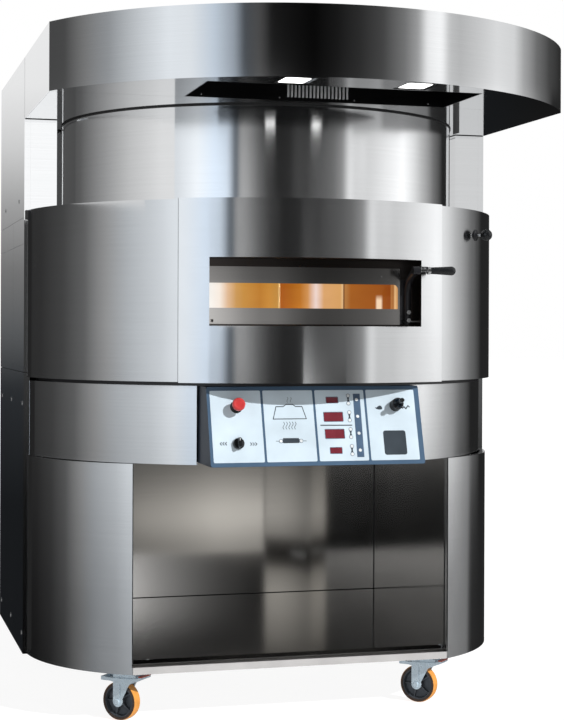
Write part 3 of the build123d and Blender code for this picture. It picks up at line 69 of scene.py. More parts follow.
class Tree:
    """Steps that the node trees of the materials and of the world share."""

    def __init__(self, tree: bpy.types.NodeTree) -> None:
        """Takes up a tree."""
        self.nodes, self.links = tree.nodes, tree.links

    def math(self, operation: str, first: Socket | float, second: Socket | float = 0.0) -> Socket:
        """Works out one operation on two sockets or numbers.

        Args:
            operation: The operation, as Blender names it.
            first: The first socket or number.
            second: The second socket or number.

        Returns:
            The socket with the result.
        """
        node = self.nodes.new("ShaderNodeMath")
        node.operation = operation
        for socket, value in zip(node.inputs, (first, second)):
            if isinstance(value, Socket):
                self.links.new(value, socket)
            else:
                socket.default_value = value
        return node.outputs["Value"]

    def spread(self, value: Socket, low: float, high: float,
               limits: Point2 = (0.3, 0.7),
               smooth: bool = False) -> Socket:
        """Stretches a value between two limits over a range.

        Args:
            value: The value.
            low: What the lower limit becomes.
            high: What the upper limit becomes.
            limits: The two limits.
            smooth: Whether it starts and ends softly.

        Returns:
            The socket with the new value.
        """
        node = self.nodes.new("ShaderNodeMapRange")
        if smooth:
            node.interpolation_type = "SMOOTHSTEP"
        for name, number in zip(("From Min", "From Max", "To Min", "To Max"), (*limits, low, high)):
            node.inputs[name].default_value = number
        self.links.new(value, node.inputs["Value"])
        return node.outputs["Result"]

    def window(self, value: Socket, span: Point2, soft: float, smooth: bool = False) -> Socket:
        """Marks where a value lies in a span.

        Args:
            value: The value.
            span: The span's two ends.
            soft: How wide each edge is.
            smooth: Whether the edges start and end softly.

        Returns:
            The socket with 1 inside the span and 0 outside it.
        """
        rising, falling = (self.spread(value, *ends, (edge - soft / 2, edge + soft / 2), smooth)
                           for edge, ends in zip(span, ((0.0, 1.0), (1.0, 0.0))))
        return self.math("MULTIPLY", rising, falling)

    def tones(self, value: Socket, stops: Sequence[tuple[float, Colour]]) -> Socket:
        """Turns a value into a colour.

        Args:
            value: The value, from 0 to 1.
            stops: The colour at each value.

        Returns:
            The socket with the colour.
        """
        node = self.nodes.new("ShaderNodeValToRGB")
        elements = node.color_ramp.elements
        for index, (place, colour) in enumerate(stops):
            if index < 2:
                stop = elements[index]
            else:
                stop = elements.new(place)
            stop.position = place
            stop.color = (*colour, 1.0)
        self.links.new(value, node.inputs["Fac"])
        return node.outputs["Color"]

    def between(self, value: Socket, span: Point2, stops: Sequence[tuple[float, Colour]]) -> Socket:
        """Turns a value within a span into a colour.

        Args:
            value: The value.
            span: The span's two ends.
            stops: The colour at each value, in the value's own measure.

        Returns:
            The socket with the colour.
        """
        shares = [((place - span[0]) / (span[1] - span[0]), colour) for place, colour in stops]
        return self.tones(self.spread(value, 0.0, 1.0, span), shares)

    def blend(self, under: Socket, over: Socket | Colour, share: Socket) -> Socket:
        """Lays a colour over another by a share.

        Args:
            under: The colour beneath.
            over: The colour or the socket laid over it.
            share: How much of it shows, from 0 to 1.

        Returns:
            The socket with the mix.
        """
        node = self.nodes.new("ShaderNodeMix")
        node.data_type = "RGBA"
        factor, under_socket, over_socket = node.inputs["Factor"], node.inputs[6], node.inputs[7]
        self.links.new(share, factor)
        self.links.new(under, under_socket)
        if isinstance(over, Socket):
            self.links.new(over, over_socket)
        else:
            over_socket.default_value = (*over, 1.0)
        return node.outputs[2]


class Recipe(Tree):
    """The node tree of one material, laid out step by step around its Principled shader."""

    def __init__(self, name: str) -> None:
        """Starts a material.

        Args:
            name: The material's name.
        """
        self.material = bpy.data.materials.new(name)
        self.material.use_nodes = True
        super().__init__(self.material.node_tree)
        self.shader = self.nodes["Principled BSDF"]

    def set(self, **values: float | tuple) -> None:
        """Sets sockets of the shader, named in lower case with underscores."""
        sockets = {socket.name.lower().replace(" ", "_"): socket for socket in self.shader.inputs}
        for name, value in values.items():
            sockets[name].default_value = value

    def link(self, source: Socket, target: str) -> None:
        """Joins a socket to the shader's input of that name."""
        self.links.new(source, self.shader.inputs[target])

    def place(self, stretch: Point3 = (1, 1, 1)) -> Socket:
        """Gives the piece's own coordinates, stretched along each axis by a factor.

        Args:
            stretch: The factor along each axis.

        Returns:
            The socket with the coordinates.
        """
        source = self.nodes.new("ShaderNodeTexCoord")
        mapping = self.nodes.new("ShaderNodeMapping")
        mapping.inputs["Scale"].default_value = stretch
        self.links.new(source.outputs["Object"], mapping.inputs["Vector"])
        return mapping.outputs["Vector"]

    def axes(self) -> bpy.types.NodeOutputs:
        """Gives the piece's own coordinates one by one, as the outputs X, Y and Z."""
        node = self.nodes.new("ShaderNodeSeparateXYZ")
        self.links.new(self.place(), node.inputs["Vector"])
        return node.outputs

    def spread_along(self, way: Point3) -> None:
        """Gives the direction in which highlights are drawn out, across the brush lines."""
        node = self.nodes.new("ShaderNodeCombineXYZ")
        for name, number in zip("XYZ", way):
            node.inputs[name].default_value = number
        self.link(node.outputs["Vector"], "Tangent")

    def noise(self, place: Socket, scale: float, detail: float = 3.0) -> Socket:
        """Adds cloudy noise.

        Args:
            place: The coordinates it is laid over.
            scale: Clouds per metre.
            detail: Octaves.

        Returns:
            The socket with its value, about 0.5.
        """
        node = self.nodes.new("ShaderNodeTexNoise")
        node.inputs["Scale"].default_value = scale
        node.inputs["Detail"].default_value = detail
        self.links.new(place, node.inputs["Vector"])
        return node.outputs["Fac"]

    def mottle(self, value: Socket, colour: Colour, dark: float, bright: float,
               target: str = "Base Color") -> None:
        """Lets a value darken and brighten a colour between two factors."""
        self.link(self.tones(value, [(0.3, shade(colour, dark)), (0.7, shade(colour, bright))]), target)

    def relief(self, height: Socket, strength: float, depth: float) -> None:
        """Lets a value raise and lower the surface.

        Args:
            height: The value.
            strength: How strongly it shows, from 0 to 1.
            depth: The depth of the relief in metres.
        """
        node = self.nodes.new("ShaderNodeBump")
        node.inputs["Strength"].default_value = strength
        node.inputs["Distance"].default_value = depth
        self.links.new(height, node.inputs["Height"])
        self.link(node.outputs["Normal"], "Normal")


def light(tint: Colour, level: float) -> Colour:
    """Gives a light's colour at a level, which may pass 1."""
    return tuple(part * level for part in tint)


def shade(colour: Colour, factor: float) -> Colour:
    """Gives a colour made darker or lighter by a factor."""
    return tuple(min(1.0, part * factor) for part in colour)


@dataclass(frozen=True)
class Finish:
    """A finish, known by its name, that can be built as a material."""

    name: str

    def material(self) -> Material:
        """Builds the material."""
        recipe = Recipe(self.name)
        self.lay_out(recipe)
        return recipe.material

    def lay_out(self, recipe: Recipe) -> None:
        """Lays out its nodes."""
        raise NotImplementedError


@dataclass(frozen=True)
class BrushedSteel(Finish):
    """Stainless sheet with fine brush lines, wiping marks and a soft gloss."""

    lay: Lay = Lay.LEVEL
    colour: Colour = (0.80, 0.81, 0.82)
    roughness: float = 0.13
    anisotropy: float = 1.0
    smears: float = 0.012

    def lay_out(self, recipe: Recipe) -> None:
        """Lays out its nodes."""
        recipe.set(metallic=1.0, anisotropic=self.anisotropy)
        stretch, way = self.lay.value
        recipe.spread_along(way)
        lines = recipe.noise(recipe.place(stretch), 1.0, 2.0)
        smears = recipe.noise(recipe.place((1.0, 1.0, 0.6)), 7.0, 4.0)
        recipe.link(recipe.tones(lines, [(0.25, shade(self.colour, 0.95)), (0.75, self.colour)]),
                    "Base Color")
        recipe.link(recipe.spread(smears, self.roughness - self.smears, self.roughness + self.smears),
                    "Roughness")
        recipe.relief(lines, 0.02, 0.0001)


@dataclass(frozen=True)
class Enamel(Finish):
    """Sprayed or powder-coated metal, with the slight peel of the paint."""

    colour: Colour
    roughness: float = 0.4
    peel: float = 420.0

    def lay_out(self, recipe: Recipe) -> None:
        """Lays out its nodes."""
        recipe.set(metallic=0.0)
        place = recipe.place()
        peel = recipe.noise(place, self.peel, 2.0)
        dust = recipe.noise(place, 9.0, 5.0)
        recipe.mottle(dust, self.colour, 0.88, 1.06)
        recipe.link(recipe.spread(peel, self.roughness - 0.05, self.roughness + 0.05), "Roughness")
        recipe.relief(peel, 0.12, 0.0004)


@dataclass(frozen=True)
class Moulding(Finish):
    """Moulded plastic or rubber with a fine grain."""

    colour: Colour
    roughness: float = 0.3
    grain: float = 1600.0
    coat: float = 0.0

    def lay_out(self, recipe: Recipe) -> None:
        """Lays out its nodes."""
        recipe.set(coat_weight=self.coat, coat_roughness=0.08)
        place = recipe.place()
        grain = recipe.noise(place, self.grain, 2.0)
        wear = recipe.noise(place, 30.0, 4.0)
        recipe.mottle(wear, self.colour, 0.85, 1.12)
        recipe.link(recipe.spread(wear, self.roughness - 0.06, self.roughness + 0.06), "Roughness")
        recipe.relief(grain, 0.15, 0.0002)


@dataclass(frozen=True)
class PlatedMetal(Finish):
    """Plated or cast metal: patches of slightly different tone over a bright or dull ground."""

    colour: Colour
    roughness: float = 0.3
    patch: float = 90.0
    contrast: float = 0.12
    metallic: float = 1.0

    def lay_out(self, recipe: Recipe) -> None:
        """Lays out its nodes."""
        recipe.set(metallic=self.metallic)
        place = recipe.place()
        patches = recipe.noise(place, self.patch, 4.0)
        recipe.mottle(patches, self.colour, 1 - self.contrast, 1 + self.contrast / 2)
        recipe.link(recipe.spread(patches, self.roughness + 0.06, self.roughness - 0.04), "Roughness")
        recipe.relief(recipe.noise(place, 900.0, 2.0), 0.12, 0.0002)


@dataclass(frozen=True)
class FireClay(Finish):
    """Pale baking stone with speckles and browned patches."""

    def lay_out(self, recipe: Recipe) -> None:
        """Lays out its nodes."""
        place = recipe.place()
        browned = recipe.noise(place, 6.0, 6.0)
        recipe.link(recipe.tones(browned, [(0.30, (0.30, 0.20, 0.12)), (0.55, (0.62, 0.50, 0.36)),
                                           (0.80, (0.74, 0.66, 0.54))]), "Base Color")
        recipe.set(roughness=0.85)
        recipe.relief(recipe.noise(place, 700.0, 4.0), 0.5, 0.0008)


@dataclass(frozen=True)
class MineralWool(Finish):
    """Yellowish matted fibre."""

    def lay_out(self, recipe: Recipe) -> None:
        """Lays out its nodes."""
        fibres = recipe.noise(recipe.place((60.0, 60.0, 400.0)), 1.0, 8.0)
        recipe.link(recipe.tones(fibres, [(0.3, (0.42, 0.34, 0.16)), (0.7, (0.78, 0.70, 0.44))]),
                    "Base Color")
        recipe.set(roughness=0.95)
        recipe.relief(fibres, 0.8, 0.003)


@dataclass(frozen=True)
class Glow(Finish):
    """A surface that gives light, with a shine and slight cloudiness of its own."""

    colour: Colour
    light: Colour
    strength: float
    cloud: float = 20.0

    def lay_out(self, recipe: Recipe) -> None:
        """Lays out its nodes."""
        recipe.set(base_color=(*self.colour, 1.0), roughness=0.35, emission_strength=self.strength)
        clouds = recipe.noise(recipe.place(), self.cloud, 3.0)
        recipe.mottle(clouds, self.light, 0.82, 1.0, "Emission Color")


@dataclass(frozen=True)
class OvenGlass(Finish):
    """The door's three panes: dark glass with the chamber's warm light painted on as emission, palest at the
    left, with painted highlights.
    """

    span: Point2 = (-0.290, 0.250)
    # Where the painted highlight spot lies, in X and in Z.
    painted_highlight_x: Point2 = (0.186, 0.203)
    painted_highlight_z: Point2 = (1.160, 1.203)
    # The painted glow's colour at each X; the short pale stops among them are painted highlights.
    stops: tuple[tuple[float, Colour], ...] = (
        (-0.286, (1.0, 0.97, 0.92)), (-0.262, (1.0, 0.90, 0.80)), (-0.240, (0.80, 0.53, 0.33)),
        (-0.216, (0.64, 0.34, 0.10)), (-0.195, (0.61, 0.29, 0.053)), (-0.150, (0.53, 0.21, 0.025)),
        (-0.125, (0.62, 0.27, 0.040)), (-0.100, (0.57, 0.28, 0.055)), (-0.096, (0.95, 0.62, 0.25)),
        (-0.092, (0.42, 0.10, 0.007)), (-0.060, (0.47, 0.14, 0.009)), (-0.036, (0.56, 0.19, 0.018)),
        (-0.014, (0.72, 0.33, 0.10)), (0.009, (0.95, 0.76, 0.70)), (0.032, (0.77, 0.41, 0.17)),
        (0.080, (0.76, 0.40, 0.14)), (0.087, (0.90, 0.60, 0.30)), (0.090, (0.12, 0.03, 0.005)),
        (0.094, (0.50, 0.22, 0.06)), (0.110, (0.41, 0.12, 0.013)), (0.195, (0.36, 0.09, 0.006)),
        (0.228, (0.30, 0.06, 0.003)), (0.231, (0.48, 0.19, 0.05)), (0.238, (0.40, 0.14, 0.03)),
        (0.242, (0.92, 0.56, 0.26)), (0.248, (0.70, 0.36, 0.14)))

    def lay_out(self, recipe: Recipe) -> None:
        """Lays out its nodes."""
        parts = recipe.axes()
        clouds = recipe.spread(recipe.noise(recipe.place((1.0, 1.0, 2.0)), 6.0, 2.0), 0.0, 1.0)
        # The chamber's warm light, painted on the pane as emission.
        glow = recipe.between(parts["X"], self.span, self.stops)
        dimmed = recipe.blend(glow, (0.0, 0.0, 0.0), recipe.spread(clouds, 0.0, 0.16, (0.0, 1.0)))
        # A painted highlight: a pale spot mixed into the painted glow.
        painted_highlight = recipe.math("MULTIPLY", recipe.window(parts["X"], self.painted_highlight_x, 0.006),
                            recipe.window(parts["Z"], self.painted_highlight_z, 0.016))
        recipe.link(recipe.blend(dimmed, (0.95, 0.70, 0.48), painted_highlight), "Emission Color")
        recipe.set(base_color=(0.02, 0.01, 0.005, 1.0), roughness=0.06, transmission_weight=0.08,
                   emission_strength=0.94)


def frame_at(origin: Point3, normal: Point3 = (0, 0, 1), across: Point3 = (1, 0, 0)) -> Matrix:
    """Gives the matrix that sets a shape drawn in millimetres in its place.

    Args:
        origin: Where the shape's own origin goes, in millimetres.
        normal: Where its Z axis points.
        across: Where its X axis points, made square to the normal.

    Returns:
        The matrix, which also turns millimetres into metres.
    """
    up = Vector(normal).normalized()
    side = Vector(across)
    side = (side - up * side.dot(up)).normalized()
    turn = Matrix((side, up.cross(side), up)).transposed().to_4x4()
    return Matrix.Translation(Vector(origin) * MM) @ turn @ Matrix.Scale(MM, 4)


def rounded(low: Point2, high: Point2, radius: float, steps: int = 6) -> list[Point2]:
    """Draws a rectangle with round corners.

    Args:
        low: Its lower left corner.
        high: Its upper right corner.
        radius: The corners' radius.
        steps: Segments in each corner.

    Returns:
        Its outline, anticlockwise.
    """
    corners = ((high[0] - radius, high[1] - radius, 0), (low[0] + radius, high[1] - radius, 1),
               (low[0] + radius, low[1] + radius, 2), (high[0] - radius, low[1] + radius, 3))
    outline = []
    for x, y, quarter in corners:
        for step in range(steps + 1):
            angle = (quarter + step / steps) * math.pi / 2
            outline.append((x + radius * math.cos(angle), y + radius * math.sin(angle)))
    return outline


def circle(centre: Point2, radius: float, steps: int = 32) -> list[Point2]:
    """Draws a circle as an outline, anticlockwise."""
    angles = (FULL_TURN * step / steps for step in range(steps))
    return [(centre[0] + radius * math.cos(angle), centre[1] + radius * math.sin(angle)) for angle in angles]


class Shape:
    """A mesh in the making, in millimetres, in a frame of its own."""

    def __init__(self) -> None:
        """Starts an empty shape."""
        self.mesh = bmesh.new()

    def loft(self, loops: Sequence[Sequence[Point3]], capped: bool = True, closed: bool = False) -> "Shape":
        """Joins loops of equal length with a skin.

        Args:
            loops: The loops of points, one after another.
            capped: Whether the first and the last loop are filled.
            closed: Whether the last loop joins the first.

        Returns:
            The shape itself.
        """
        rows = [[self.mesh.verts.new(point) for point in loop] for loop in loops]
        pairs = list(zip(rows, rows[1:]))
        if closed:
            pairs.append((rows[-1], rows[0]))
        for lower, upper in pairs:
            for index in range(len(lower)):
                after = (index + 1) % len(lower)
                self.mesh.faces.new((lower[index], lower[after], upper[after], upper[index]))
        if capped and not closed:
            self.mesh.faces.new(list(reversed(rows[0])))
            self.mesh.faces.new(rows[-1])
        return self

    def prism(self, outline: Sequence[Point2], low: float, high: float, draw_in: float = 0.0) -> "Shape":
        """Raises an outline between two heights.

        Args:
            outline: The outline in the XY plane.
            low: The lower height.
            high: The upper height.
            draw_in: How far the top's edge is drawn in, as a small bevel.

        Returns:
            The shape itself.
        """
        loops = [[(x, y, low) for x, y in outline]]
        if draw_in:
            middle = (sum(x for x, _ in outline) / len(outline), sum(y for _, y in outline) / len(outline))
            reach = max(math.dist(middle, point) for point in outline)
            factor = 1 - draw_in / reach
            loops.append([(x, y, high - draw_in) for x, y in outline])
            loops.append([(middle[0] + (x - middle[0]) * factor, middle[1] + (y - middle[1]) * factor, high)
                          for x, y in outline])
        else:
            loops.append([(x, y, high) for x, y in outline])
        return self.loft(loops)

    def lathe(self, profile: Sequence[Point2], steps: int = 48, closed: bool = False,
              centre: Point2 = (0, 0)) -> "Shape":
        """Turns a profile about the Z axis.

        Args:
            profile: Radius and height of its points, from bottom to top.
            steps: Segments round the axis.
            closed: Whether the profile closes on itself, as a ring's does.
            centre: Where the axis stands.

        Returns:
            The shape itself.
        """
        loops = [[(x, y, height) for x, y in circle(centre, max(radius, 0.01), steps)]
                 for radius, height in profile]
        return self.loft(loops, capped=not closed, closed=closed)

    def stroke(self, points: Sequence[Point2], width: float, low: float, high: float,
               closed: bool = False) -> "Shape":
        """Draws a raised line of even width.

        Args:
            points: The line's points.
            width: Its width.
            low: The height of its underside.
            high: The height of its top.
            closed: Whether it ends where it starts.

        Returns:
            The shape itself.
        """
        count = len(points)
        edges = []
        for index, point in enumerate(points):
            before = points[index - 1] if index or closed else point
            after = points[(index + 1) % count] if index < count - 1 or closed else point
            entry = (Vector(point) - Vector(before)).normalized()
            leave = (Vector(after) - Vector(point)).normalized()
            heading = (entry + leave).normalized()
            side = Vector((-heading.y, heading.x))
            spare = max(0.4, abs(side.dot(Vector((-leave.y, leave.x)))),
                        abs(side.dot(Vector((-entry.y, entry.x)))))
            side *= width / 2 / spare
            edges.append((Vector(point) + side, Vector(point) - side))
        loops = [[(*left, low), (*right, low), (*right, high), (*left, high)] for left, right in edges]
        return self.loft(loops, closed=closed)

    def tube(self, points: Sequence[Point3], radius: float, sides: int = 12) -> "Shape":
        """Runs a round bar along a line of points.

        Args:
            points: The line.
            radius: The bar's radius.
            sides: Its sides.

        Returns:
            The shape itself.
        """
        path = [Vector(point) for point in points]
        loops = []
        side = (path[1] - path[0]).orthogonal().normalized()
        for index, point in enumerate(path):
            heading = (path[min(index + 1, len(path) - 1)] - path[max(index - 1, 0)]).normalized()
            side = (side - heading * side.dot(heading)).normalized()
            other = heading.cross(side)
            loops.append([point + (side * math.cos(angle) + other * math.sin(angle)) * radius
                          for angle in (FULL_TURN * step / sides for step in range(sides))])
        return self.loft(loops)

    def set_at(self, matrix: Matrix) -> "Shape":
        """Moves all that the shape holds so far."""
        bmesh.ops.transform(self.mesh, matrix=matrix, verts=self.mesh.verts)
        return self

    def to_mesh(self, name: str, material: Material, crease: float = CREASE) -> bpy.types.Mesh:
        """Closes the shape into a mesh with its faces outwards.

        Args:
            name: The mesh's name.
            material: Its material.
            crease: The angle in degrees over which an edge stays sharp.

        Returns:
            The mesh.
        """
        bmesh.ops.remove_doubles(self.mesh, verts=self.mesh.verts, dist=1e-6)
        bmesh.ops.recalc_face_normals(self.mesh, faces=self.mesh.faces)
        mesh = bpy.data.meshes.new(name)
        self.mesh.to_mesh(mesh)
        self.mesh.free()
        mesh.materials.append(material)
        mesh.shade_smooth()
        mesh.set_sharp_from_angle(angle=math.radians(crease))
        return mesh

    def fit(self, name: str, material: Material, body: str, slot: str, replaces: Sequence[str] = (),
            crease: float = CREASE) -> None:
        """Closes the shape and puts it on the oven as a piece, with the same words as to_mesh and fit."""
        fit(self.to_mesh(name, material, crease), name, body, replaces)


def fit(mesh: bpy.types.Mesh, name: str, body: str,
        replaces: Sequence[str] = ()) -> bpy.types.Object:
    """Puts a finished mesh on the oven as a piece.

    Args:
        mesh: The mesh, in metres and in its place.
        name: The piece's name.
        body: The body it rides on.
        replaces: The CAD nodes it stands for.

    Returns:
        The piece.
    """
    piece = bpy.data.objects.new(name, mesh)
    bpy.context.scene.collection.objects.link(piece)
    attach(piece, body)
    if replaces:
        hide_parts(*replaces)
    LOG.info("%s rides on %s, %d faces", name, body, len(mesh.polygons))
    return piece


def dress(material: Material, *nodes: str) -> None:
    """Gives CAD nodes a finish.

    Args:
        material: The material.
        nodes: The nodes' names.
    """
    for node in nodes:
        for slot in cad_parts[node].material_slots:
            slot.material = material
        LOG.info("%s has the finish %s", node, material.name)


@dataclass
class Spot:
    """Where a repeated shape stands, in metres, and which way its Z and X axes point."""

    place: Vector
    normal: Vector
    across: Vector


def spot(matrix: Matrix, place: Point3, turn: float = 0.0) -> Spot:
    """Gives a spot in a frame.

    Args:
        matrix: The frame, from frame_at.
        place: The point in the frame, in millimetres.
        turn: The turn about the frame's Z axis, in degrees.

    Returns:
        The spot.
    """
    basis = matrix.to_3x3()
    angle = math.radians(turn)
    across = basis @ Vector((math.cos(angle), math.sin(angle), 0))
    return Spot(matrix @ Vector(place), (basis @ Vector((0, 0, 1))).normalized(), across.normalized())


class Maker:
    """A Geometry Nodes tree that makes plain meshes of one material."""

    def __init__(self, name: str, given: str, made: str, inputs: dict[str, str]) -> None:
        """Starts the tree.

        Args:
            name: The tree's name.
            given: What the mesh that it starts from is called.
            made: What its result is called.
            inputs: The kind of each further input.
        """
        self.tree = bpy.data.node_groups.new(name, "GeometryNodeTree")
        sockets = self.tree.interface
        sockets.new_socket(given, in_out="INPUT", socket_type="NodeSocketGeometry")
        self.keys = {label: sockets.new_socket(label, in_out="INPUT", socket_type=kind).identifier
                     for label, kind in inputs.items()}
        sockets.new_socket(made, in_out="OUTPUT", socket_type="NodeSocketGeometry")
        self.source = self.tree.nodes.new("NodeGroupInput").outputs
        self.target = self.tree.nodes.new("NodeGroupOutput").inputs[made]

    def finish(self, geometry: Socket, material: Material) -> None:
        """Ends the tree: every copy becomes plain geometry and takes the material.

        Args:
            geometry: The socket with the copies.
            material: Their material.
        """
        realize = self.tree.nodes.new("GeometryNodeRealizeInstances")
        finish = self.tree.nodes.new("GeometryNodeSetMaterial")
        finish.inputs["Material"].default_value = material
        self.tree.links.new(geometry, realize.inputs["Geometry"])
        self.tree.links.new(realize.outputs["Geometry"], finish.inputs["Geometry"])
        self.tree.links.new(finish.outputs["Geometry"], self.target)

    def make(self, name: str, given: bpy.types.Mesh, crease: float,
             **values: bpy.types.Object | float) -> bpy.types.Mesh:
        """Runs the tree on a mesh.

        Args:
            name: The new mesh's name.
            given: The mesh that it starts from.
            crease: The angle in degrees over which an edge stays sharp.
            values: The further inputs' values.

        Returns:
            The result as one plain mesh.
        """
        holder = bpy.data.objects.new(name + "_holder", given)
        bpy.context.scene.collection.objects.link(holder)
        modifier = holder.modifiers.new("maker", "NODES")
        modifier.node_group = self.tree
        for label, value in values.items():
            modifier[self.keys[label]] = value
        bpy.context.view_layer.update()
        evaluated = holder.evaluated_get(bpy.context.evaluated_depsgraph_get())
        mesh = bpy.data.meshes.new_from_object(evaluated)
        mesh.name = name
        holder.modifiers.remove(modifier)
        bpy.data.objects.remove(holder)
        mesh.set_sharp_from_angle(angle=math.radians(crease))
        return mesh


class Repeater(Maker):
    """Sets one small shape on many points and joins the copies."""

    def __init__(self, name: str, shape: Shape, material: Material) -> None:
        """Builds the tree.

        Args:
            name: The tree's name.
            shape: The shape that is repeated, drawn in millimetres.
            material: The material of the copies.
        """
        super().__init__(name, "Points", "Copies", {"Shape": "NodeSocketObject", "Size": "NodeSocketFloat"})
        self.sample = bpy.data.objects.new(name + "_sample", shape.to_mesh(name, material))
        nodes = self.tree.nodes
        info = nodes.new("GeometryNodeObjectInfo")
        turn = nodes.new("GeometryNodeInputNamedAttribute")
        turn.data_type = "FLOAT_VECTOR"
        turn.inputs["Name"].default_value = "turn"
        rotation = nodes.new("FunctionNodeEulerToRotation")
        place = nodes.new("GeometryNodeInstanceOnPoints")
        joins = ((self.source["Points"], place.inputs["Points"]), (self.source["Shape"],
                                                                   info.inputs["Object"]),
                 (info.outputs["Geometry"], place.inputs["Instance"]),
                 (turn.outputs["Attribute"], rotation.inputs["Euler"]),
                 (rotation.outputs["Rotation"], place.inputs["Rotation"]),
                 (self.source["Size"], place.inputs["Scale"]))
        for start, end in joins:
            self.tree.links.new(start, end)
        self.finish(place.outputs["Instances"], material)

    def fit(self, name: str, spots: Sequence[Spot], body: str, slot: str, size: float = 1.0) -> None:
        """Sets a copy on each spot and puts them on the oven as one piece.

        Args:
            name: The piece's name.
            spots: The spots.
            body: The body it rides on.
            size: The copies' size against the sample.
        """
        points = bpy.data.meshes.new(name + "_points")
        points.from_pydata([tuple(one.place) for one in spots], [], [])
        turns = points.attributes.new("turn", "FLOAT_VECTOR", "POINT")
        for index, one in enumerate(spots):
            axes = Matrix((one.across, one.normal.cross(one.across), one.normal)).transposed()
            turns.data[index].vector = axes.to_euler()
        fit(self.make(name, points, CREASE, Shape=self.sample, Size=size * MM), name, body)


def screw_head() -> Shape:
    """Draws a domed screw head of 1 mm radius with a hexagon socket."""
    profile = [(1.0, -0.05), (1.0, 0.12), (0.86, 0.36), (0.62, 0.48), (0.38, 0.50), (0.36, 0.18),
               (0.01, 0.16)]
    return Shape().lathe(profile, steps=12)


class Sweeper(Maker):
    """Runs a round wire along a line of edges."""

    wire_crease = 50.0

    def __init__(self, name: str, material: Material) -> None:
        """Builds the tree.

        Args:
            name: The tree's name.
            material: The wire's material.
        """
        super().__init__(name, "Line", "Wire", {"Radius": "NodeSocketFloat"})
        line = self.tree.nodes.new("GeometryNodeMeshToCurve")
        section = self.tree.nodes.new("GeometryNodeCurvePrimitiveCircle")
        section.inputs["Resolution"].default_value = 12
        sweep = self.tree.nodes.new("GeometryNodeCurveToMesh")
        sweep.inputs["Fill Caps"].default_value = True
        for start, end in ((self.source["Line"], line.inputs["Mesh"]),
                           (self.source["Radius"], section.inputs["Radius"]),
                           (line.outputs["Curve"], sweep.inputs["Curve"]),
                           (section.outputs["Curve"], sweep.inputs["Profile Curve"])):
            self.tree.links.new(start, end)
        self.finish(sweep.outputs["Mesh"], material)

    def run(self, name: str, points: Sequence[Vector], radius: float) -> bpy.types.Mesh:
        """Makes one wire.

        Args:
            name: The new mesh's name.
            points: The wire's line, in millimetres in the oven's frame.
            radius: The wire's radius in millimetres.

        Returns:
            The wire as a plain mesh.
        """
        line = bpy.data.meshes.new(name + "_line")
        line.from_pydata([tuple(point * MM) for point in points],
                         [(index, index + 1) for index in range(len(points) - 1)], [])
        mesh = self.make(name, line, self.wire_crease, Radius=radius * MM)
        mesh.shade_smooth()
        mesh.set_sharp_from_angle(angle=math.radians(self.wire_crease))
        return mesh


